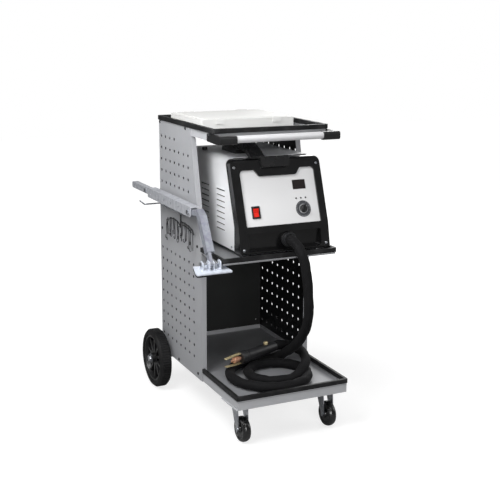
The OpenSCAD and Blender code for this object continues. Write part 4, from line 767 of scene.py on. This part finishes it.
@dataclass
class SleevedCable:
    """The welding cable in its woven sleeve: down to the tray, coiled, and up to the gun."""

    thickness_mm: float = 30.0
    sides: int = 20
    smoothing: int = 3
    band_at: Point = (73.0, -476.0, 155.5)
    # In millimetres: the band's gap to the sleeve, its width and its wall.
    band_form: Point = (0.9, 7.0, 1.4)
    # X and Y of the middle, and the radius, of the coil's outer and inner turn.
    outer_turn: Point = (-8.0, -452.0, 118.0)
    inner_turn: Point = (8.0, -450.0, 76.0)
    drop: tuple[Point, ...] = (
        (45, -463, 564), (45, -478, 564), (46, -494, 561), (49, -510, 553), (53, -524, 538),
        (58, -533, 518), (62, -538, 494), (66, -541, 465), (69, -543, 430), (72, -543, 390),
        (74, -540, 354), (76, -530, 322), (77, -511, 290), (79, -484, 259), (80, -453, 232),
        (80, -420, 208), (78, -392, 190), (71, -369, 173), (55, -350, 160.5), (30, -338, 156.5),
        (8, -335, 155.5),
    )
    rise: tuple[Point, ...] = (
        (20, -526, 156), (48, -519, 161), (70, -508, 170), (88, -494, 179), (104, -473, 185),
        (116, -448, 187), (123, -424, 188), (127, -402, 188.5), (126.5, -382, 189.6),
        (121.5, -364, 191.2), (112.5, -350, 193), (101, -341.2, 194.4), (89, -337.8, 195.3),
        (76.3, -338.1, 195.5), (63.1, -342.6, 195.2),
    )

    def turns(self) -> list[Point]:
        """Points of the coil: an outer turn that goes over into an inner one."""
        points = []
        for bearing in range(96, 601, 12):
            share = min(max((bearing - 300.0) / 150.0, 0.0), 1.0)
            share = share * share * (3.0 - 2.0 * share)
            x, y, radius = (a + (b - a) * share for a, b in zip(self.outer_turn, self.inner_turn))
            angle = radians(bearing)
            points.append((x + radius * cos(angle), y + radius * sin(angle), 155.5))
        return points

    def knots(self) -> list[Vector]:
        """The whole centreline's points in the part's frame."""
        return [at(*point) for point in (*self.drop, *self.turns(), *self.rise)]

    def route(self) -> list[Vector]:
        """The centreline, smoothed."""
        rough = self.knots()
        smooth = []
        for i in range(len(rough) - 1):
            a, b, c, d = (rough[min(max(i + k, 0), len(rough) - 1)] for k in (-1, 0, 1, 2))
            for step in range(self.smoothing):
                t = step / self.smoothing
                square, cube = 2 * a - 5 * b + 4 * c - d, 3 * b - a - 3 * c + d
                smooth.append(0.5 * (2 * b + (c - a) * t + square * t * t + cube * t ** 3))
        smooth.append(rough[-1])
        return smooth

    def build(self) -> None:
        path = self.route()
        radius = self.thickness_mm / 2000.0
        mesh = bmesh.new()
        chart = mesh.loops.layers.uv.new("sleeve")
        rings = []
        lengths = [0.0]
        for a, b in zip(path, path[1:]):
            lengths.append(lengths[-1] + (b - a).length)
        side = Vector((1.0, 0.0, 0.0))
        for i, point in enumerate(path):
            along = (path[min(i + 1, len(path) - 1)] - path[max(i - 1, 0)]).normalized()
            side = (side - side.dot(along) * along).normalized()
            up = side.cross(along)
            ring = []
            for k in range(self.sides):
                angle = 2.0 * pi * k / self.sides
                run = lengths[i] * 1000.0
                fold = 0.6 * sin(run / 9.0 + 2.0 * sin(angle + run / 60.0))
                fold += 0.5 * sin(run / 5.6 + 3.0 * angle) * sin(run / 31.0)
                reach = radius + fold / 1000.0 - 0.0006
                out = cos(angle) * side + sin(angle) * up
                ring.append(mesh.verts.new(point + reach * out))
            rings.append(ring)
        girth = 2.0 * pi * radius / self.sides
        for i in range(len(rings) - 1):
            for k in range(self.sides):
                n = (k + 1) % self.sides
                face = mesh.faces.new((rings[i][k], rings[i][n], rings[i + 1][n], rings[i + 1][k]))
                for loop, (step, column) in zip(face.loops, ((0, 0), (0, 1), (1, 1), (1, 0))):
                    loop[chart].uv = (lengths[i + step], (k + column) * girth)
        mesh.faces.new(list(reversed(rings[0])))
        mesh.faces.new(rings[-1])
        bmesh.ops.recalc_face_normals(mesh, faces=mesh.faces)
        data = bpy.data.meshes.new("sleeved_cable")
        mesh.to_mesh(data)
        mesh.free()
        piece = link_new("sleeved_cable", data)
        settle(piece, 60.0)
        solids = ["cable_drop", "cable_coil", "cable_tail"]
        hand_over(piece, SLEEVE, stands_for=solids)
        LOG.info("cable is %.3f m long", lengths[-1])
        self.band(path)

    def band(self, path: Sequence[Vector]) -> None:
        """Clips a plastic band round the inner turn, over the sleeve's seam."""
        spot = at(*self.band_at)
        near = min(range(1, len(path) - 1), key=lambda i: (path[i] - spot).length)
        along = (path[near + 1] - path[near - 1]).normalized()
        gap, width, wall = (size / 1000.0 for size in self.band_form)
        piece = tube("sleeve_band", 32, self.thickness_mm / 2000.0 + gap, width)
        modify(piece, "SOLIDIFY", thickness=wall, offset=-1.0)
        lay = along.to_track_quat("Z", "Y").to_matrix().to_4x4()
        turn(piece, Matrix.Translation(path[near]) @ lay)
        settle(piece, 40.0)
        hand_over(piece, BLACK_ABS)


# ----- softened pieces


@dataclass(frozen=True)
class Softened:
    """A carried-over node whose sharp edges are eased."""

    node: str
    width_mm: float
    body: Body = Body.TROLLEY
    segments: int = 2
    sharp_deg: float = 32.0

    def build(self, slot: str) -> None:
        """Copies the node, rounds its edges off and puts the copy in its place."""
        piece = link_new("soft_" + self.node, frame["nodes"][self.node].data.copy())
        piece.data.name = piece.name
        hold(piece)
        edit()
        pick_all()
        bpy.ops.mesh.remove_doubles(threshold=0.000005)
        # Two cuts through the middle keep a frame's flat faces from closing over its opening.
        middle = (Vector(piece.bound_box[0]) + Vector(piece.bound_box[6])) / 2.0
        for normal in ((1, 0, 0), (0, 1, 0)):
            pick_all()
            bpy.ops.mesh.bisect(plane_co=middle, plane_no=normal)
            bpy.ops.mesh.mark_seam()
        pick_all()
        bpy.ops.mesh.dissolve_limited(angle_limit=radians(0.8), delimit={"SEAM"})
        bpy.ops.object.mode_set(mode="OBJECT")
        modify(piece, "BEVEL", width=self.width_mm / 1000.0, segments=self.segments,
               limit_method="ANGLE", angle_limit=radians(self.sharp_deg),
               use_clamp_overlap=True, miter_outer="MITER_ARC")
        settle(piece, 40.0)
        # The large faces keep their own normals, so that they shade flat up to the rounding.
        modify(piece, "WEIGHTED_NORMAL", keep_sharp=True, weight=100)
        hand_over(piece, finish_of(self.node, slot), self.body, [self.node])


@dataclass
class SoftPieces:
    """The mouldings, extrusions and bent sheets that need eased edges."""

    pieces: tuple[Softened, ...] = (
        Softened("front_bezel", 1.8, segments=3),
        Softened("carry_handle", 3.0, segments=3),
        Softened("handle_brackets", 1.6),
        *(Softened(name + "_trim", 1.8) for name in ("lower_tray", "mid_shelf", "top_tray")),
        *(Softened(name, 0.8) for name in ("lower_tray", "mid_shelf", "top_tray", "lever_bar")),
        Softened("lever_leg", 0.8, Body.LEG),
        Softened("foot_plate", 0.6, Body.FOOT),
        Softened("foot_pad", 0.8, Body.FOOT),
        Softened("dial_knob", 0.5, Body.KNOB),
        Softened("switch_rocker", 0.6, Body.ROCKER),
        Softened("control_panel", 0.3),
        Softened("cable_outlet", 0.6),
    )

    def build(self) -> None:
        """Makes every softened copy."""
        slots = {part["node"]: part["material_slot"] for part in frame["record"]["subparts"]}
        for part in self.pieces:
            part.build(slots[part.node])


# ----- peg holes


@dataclass
class HoleRims:
    """Plunged rims inside the left panel, round every hole that may carry a peg, black as painted
    shade in the holes.
    """

    bore_mm: float = 9.0
    wall_mm: float = 0.6
    depth_mm: float = 1.8
    seat_mm: float = -178.0
    pitch_mm: Pair = (37.5, 36.0)
    first_mm: Pair = (-18.75, 827.0)
    blocks: tuple[tuple[int, int, int], ...] = ((0, 1, 4), (1, 6, 7), (10, 9, 8))

    def build(self) -> None:
        """Builds each block of rows from one rim and joins the blocks."""
        piece = join([self.block(*block) for block in self.blocks], "peg_hole_rims")
        settle(piece, 40.0)
        # The rims' black is painted shade that darkens the holes.
        hand_over(piece, BACK_SHADE_PAINT)

    def block(self, row: int, rows: int, columns: int) -> Piece:
        """Repeats one rim over a block of rows.

        Args:
            row: The block's top row, counted from the panel's top row.
            rows: How many rows.
            columns: How many holes in a row, counted from the back.

        Returns:
            The block's rims as one piece.
        """
        height = self.first_mm[1] - row * self.pitch_mm[1]
        piece = tube(
            "rims", 24, self.bore_mm / 2000.0, self.depth_mm / 1000.0,
            location=at(self.seat_mm + self.depth_mm / 2.0, self.first_mm[0], height),
            rotation=(0.0, radians(90.0), 0.0),
        )
        bpy.ops.object.transform_apply()
        modify(piece, "SOLIDIFY", thickness=self.wall_mm / 1000.0, offset=1.0)
        for count, step in ((columns, (0.0, -self.pitch_mm[0] / 1000.0, 0.0)),
                            (rows, (0.0, 0.0, -self.pitch_mm[1] / 1000.0))):
            modify(piece, "ARRAY", count=count, use_relative_offset=False, use_constant_offset=True,
                   constant_offset_displace=step)
        return piece


# ----- control panel


@dataclass
class DialScale:
    """The round scale plate under the dial knob, with its ring of marks."""

    panel_at: Point = (28.0, -468.741, 606.0)
    rake_deg: float = -19.75
    place: Pair = (72.0, 45.0)
    reach_mm: float = 24.4
    hole_mm: float = 12.4
    marks: int = 24
    sink_mm: float = 5.0

    def face(self) -> Matrix:
        """Maps a plan drawing with its height along +Z onto the raked control panel."""
        panel = Matrix.Translation(at(*self.panel_at))
        rake = Matrix.Rotation(radians(self.rake_deg), 4, "X")
        spot = Matrix.Translation(Vector((self.place[0], self.sink_mm, self.place[1])) / 1000.0)
        return panel @ rake @ spot @ Matrix.Rotation(radians(90.0), 4, "X")

    def build(self) -> None:
        """Builds the plate and the marks."""
        self.plate("dial_plate", self.hole_mm, self.reach_mm, 0.5, SCALE_GREY)
        self.plate("dial_inner_ring", self.hole_mm + 0.8, self.hole_mm + 1.6, 0.62, MARK_WHITE)
        self.ticks()

    def plate(self, name: str, inner: float, outer: float, height: float, finish: Finish) -> None:
        """Draws one flat ring out of its inner circle and lifts it off the panel."""
        clear_selection()
        bpy.ops.mesh.primitive_circle_add(vertices=64, radius=inner / 1000.0, fill_type="NOTHING")
        piece = adopt(name)
        edit()
        pick_all()
        bpy.ops.mesh.extrude_edges_move(TRANSFORM_OT_translate={"value": (0, 0, 0)})
        scale = outer / inner
        bpy.ops.transform.resize(value=(scale, scale, 1.0), center_override=(0, 0, 0))
        pick_all()
        bpy.ops.mesh.extrude_region_move(TRANSFORM_OT_translate={"value": (0, 0, height / 1000.0)})
        pick_all()
        bpy.ops.mesh.normals_make_consistent()
        bpy.ops.object.mode_set(mode="OBJECT")
        turn(piece, self.face())
        settle(piece, 30.0)
        hand_over(piece, finish)

    def ticks(self) -> None:
        """Sets marks round the plate, with a gap at the bottom."""
        clear_selection()
        parts = []
        for i in range(self.marks):
            angle = radians(-240.0 + 300.0 * i / (self.marks - 1))
            # Every fourth mark is a longer one.
            inset, length = (3.4, 0.0034) if i % 4 == 0 else (2.6, 0.0022)
            reach = (self.reach_mm - inset) / 1000.0
            bpy.ops.mesh.primitive_cube_add(
                size=1.0, rotation=(0.0, 0.0, angle), scale=(length, 0.0009, 0.0003),
                location=(reach * cos(angle), reach * sin(angle), 0.0006),
            )
            parts.append(bpy.context.object)
        piece = join(parts, "dial_marks")
        bpy.ops.object.transform_apply()
        turn(piece, self.face())
        settle(piece, 30.0)
        hand_over(piece, MARK_WHITE)


# ----- pull hooks


@dataclass
class PullHooks:
    """The claw puller's two-armed carrier and its row of pull hooks."""

    plane_mm: float = -188.0
    # Radii of the carrier's stem and arms and of the hooks' wire.
    stem_mm: float = 2.6
    arm_mm: float = 1.9
    wire_mm: float = 0.95
    arms: tuple[tuple[Pair, ...], ...] = (
        ((-79, 530), (-81, 552), (-90, 568), (-108, 577), (-140, 582), (-170, 580), (-192, 572),
         (-200, 566)),
        ((-200, 583), (-226, 585), (-252, 584), (-278, 580), (-296, 573), (-304, 564)),
        ((-214, 576), (-240, 577), (-262, 574), (-284, 568)),
    )
    hooks: int = 22
    first_mm: float = -82.0
    last_mm: float = -302.0

    def build(self) -> None:
        """Builds the carrier and the hooks and joins them into one piece."""
        stem = [(self.plane_mm, -200.0, height) for height in (620.0, 573.0)]
        parts = [self.wire(stem, self.stem_mm)]
        parts.append(self.eye())
        for arm in self.arms:
            parts.append(self.wire([(self.plane_mm, y, z) for y, z in arm], self.arm_mm))
        for number in range(self.hooks):
            share = number / (self.hooks - 1)
            y = self.first_mm + (self.last_mm - self.first_mm) * share
            y += 2.5 * sin(number * 2.1)
            drop = 49.0 + 8.0 * sin(number * 1.7) + (9.0 if share > 0.85 else 0.0)
            radius = 3.6 + 1.6 * sin(number * 2.9)
            parts.append(self.hook(number, y, self.arm_height(y), drop, radius))
        piece = join(parts, "pull_hooks")
        settle(piece, 50.0)
        hand_over(piece, BLACK_PAINT, stands_for=["claw_puller"])

    def arm_height(self, y: float) -> float:
        """Height of the carrier's arms at a place along the panel."""
        arm = self.arms[0] if y > -200.0 else self.arms[1]
        for (y0, z0), (y1, z1) in zip(arm, arm[1:]):
            if y1 <= y <= y0:
                return z0 + (z1 - z0) * (y0 - y) / (y0 - y1)
        return arm[-1][1] if y < arm[-1][0] else arm[1][1]

    def wire(self, points: Sequence[Point], radius_mm: float) -> Piece:
        """Draws a round wire along points in the trolley's axes."""
        data = bpy.data.curves.new("wire", "CURVE")
        data.dimensions = "3D"
        data.bevel_depth = radius_mm / 1000.0
        data.bevel_resolution = 2
        data.use_fill_caps = True
        line = data.splines.new("BEZIER")
        line.bezier_points.add(len(points) - 1)
        for knot, point in zip(line.bezier_points, points):
            knot.co = at(*point)
            knot.handle_left_type = knot.handle_right_type = "AUTO"
        data.resolution_u = 5
        hold(link_new("wire", data))
        bpy.ops.object.convert(target="MESH")
        return bpy.context.object

    def eye(self) -> Piece:
        """Makes the carrier's hanging ring."""
        clear_selection()
        bpy.ops.mesh.primitive_torus_add(
            major_segments=28, minor_segments=10, major_radius=0.0052, minor_radius=0.0016,
            location=at(self.plane_mm, -200.0, 622.0), rotation=(0.0, radians(90.0), 0.0),
        )
        return bpy.context.object

    def hook(self, number: int, y: float, z: float, drop: float, radius: float) -> Piece:
        """Bends one pull hook: a loop over the arm, a shank and an open claw, a little askew."""
        out = self.plane_mm - 2.0 - 2.2 * (number % 3)
        lean = 5.0 * sin(number * 2.4)
        way = 1.0 if number % 3 else -1.0
        points = [(out + 1.0, y - 3.0, z + 2.0), (out, y, z + 5.0), (out, y + 1.0, z - 2.0),
                  (out, y + lean * 0.5, z - drop * 0.5), (out, y + lean, z - drop + radius)]
        for bend in (45, 90, 135, 180):
            angle = radians(bend)
            aside = way * radius * (1.0 - cos(angle))
            points.append((out - 1.5 * bend / 180.0, y + lean + aside,
                           z - drop + radius - radius * sin(angle)))
        points.append((out - 2.0, y + lean + way * 2.0 * radius, z - drop + radius + 6.0))
        return self.wire(points, self.wire_mm)


# ----- studio


@dataclass
class Studio:
    """Camera, floor, lamps and world."""

    lens_mm: float = 70.556
    eye: Point = (-1.23355, -2.70885, 1.1898)
    tilt_deg: Point = (76.6589, -0.2967, -25.2657)
    glossy_light: float = 0.16
    soft_light: float = 0.02

    def build(self) -> None:
        """Builds the whole studio."""
        self.camera()
        self.floor()
        self.lamps()
        self.world()
        bpy.context.scene.view_settings.view_transform = "Standard"

    def camera(self) -> None:
        """Places the camera."""
        data = bpy.data.cameras.new("camera")
        data.lens = self.lens_mm
        item = link_new("camera", data)
        item.location = self.eye
        item.rotation_euler = tuple(radians(a) for a in self.tilt_deg)
        bpy.context.scene.camera = item

    def seen(self, net: Net, rays: Node) -> Socket:
        """Gives one for the rays that the camera sees, also through clear plastic."""
        first, through = rays.outputs["Is Camera Ray"], rays.outputs["Is Transmission Ray"]
        return net.reckon("MAXIMUM", first, through)

    def floor(self) -> None:
        """Lays a pale floor that shows white to the camera and keeps the shadow."""
        clear_selection()
        bpy.ops.mesh.primitive_plane_add(size=14.0)
        piece = adopt("studio_floor")
        material = bpy.data.materials.new("studio_floor_paper")
        net = Net(material)
        where = net.add("TexCoord").outputs["Object"]
        reach = net.add("VectorMath", {0: where}, operation="LENGTH").outputs["Value"]
        # The glow dips near the part, so that the shadow shows there.
        level = net.spread(reach, 0.45, 1.2, 0.72, 1.0)
        glow = net.reckon("MULTIPLY", self.seen(net, net.add("LightPath")), level)
        paper = net.add("BsdfDiffuse", {"Color": (0.35, 0.35, 0.35, 1.0)})
        light = net.add("Emission", {"Color": (1, 1, 1, 1), "Strength": glow})
        both = net.add("AddShader", {0: paper.outputs[0], 1: light.outputs[0]})
        net.add("OutputMaterial", {"Surface": both.outputs[0]})
        piece.data.materials.append(material)

    def lamps(self) -> None:
        """Hangs eight soft lamps; the small key lamp draws the highlights."""
        # Name, place, height of the aim, size of the lamp and its power.
        for name, place, aim, size, power in (
            ("key_lamp", (0.7, -2.5, 3.2), 0.55, 0.5, 7.0),
            ("high_lamp", (-0.3, -1.5, 3.4), 0.4, 1.2, 22.0),
            ("front_low_lamp", (-0.6, -3.0, 1.1), 0.6, 1.2, 37.0),
            ("near_left_lamp", (-0.85, -0.5, 1.5), 0.8, 0.7, 21.0),
            ("rear_left_lamp", (-3.0, 0.6, 2.0), 0.45, 1.8, 25.0),
            ("left_low_lamp", (-2.6, -0.7, 0.7), 0.45, 1.2, 3.0),
            ("right_fill_lamp", (2.8, -0.9, 1.5), 0.45, 1.6, 20.0),
            ("rear_right_lamp", (2.2, 2.4, 2.0), 0.45, 1.8, 45.0),
        ):
            data = bpy.data.lights.new(name, "AREA")
            data.size = size
            data.energy = power
            item = link_new(name, data)
            item.location = place
            direction = Vector((0.0, 0.0, aim)) - Vector(place)
            item.rotation_euler = direction.to_track_quat("-Z", "Y").to_euler()

    def world(self) -> None:
        """Sets a soft world light that shows white to the camera."""
        world = bpy.data.worlds.new("studio_world")
        net = Net(world)
        rays = net.add("LightPath")
        glossy = rays.outputs["Is Glossy Ray"]
        dim = net.reckon("MULTIPLY_ADD", glossy, self.glossy_light, self.soft_light)
        strength = net.reckon("MAXIMUM", self.seen(net, rays), dim)
        shine = net.add("Background", {"Color": (1, 1, 1, 1), "Strength": strength})
        net.add("OutputWorld", {"Surface": shine.outputs[0]})
        bpy.context.scene.world = world


# ----- assembly


def dress_nodes() -> None:
    """Gives every carried-over node the finish of its slot."""
    for part in frame["record"]["subparts"]:
        coat(frame["nodes"][part["node"]], finish_of(part["node"], part["material_slot"]))


def main() -> None:
    """Builds every piece in order."""
    Studio().build()
    SleevedCable().build()
    dress_nodes()
    for side in Side:
        RearWheel(side).build()
    SoftPieces().build()
    HoleRims().build()
    DialScale().build()
    PullHooks().build()


if __name__ == "__main__":
    main()
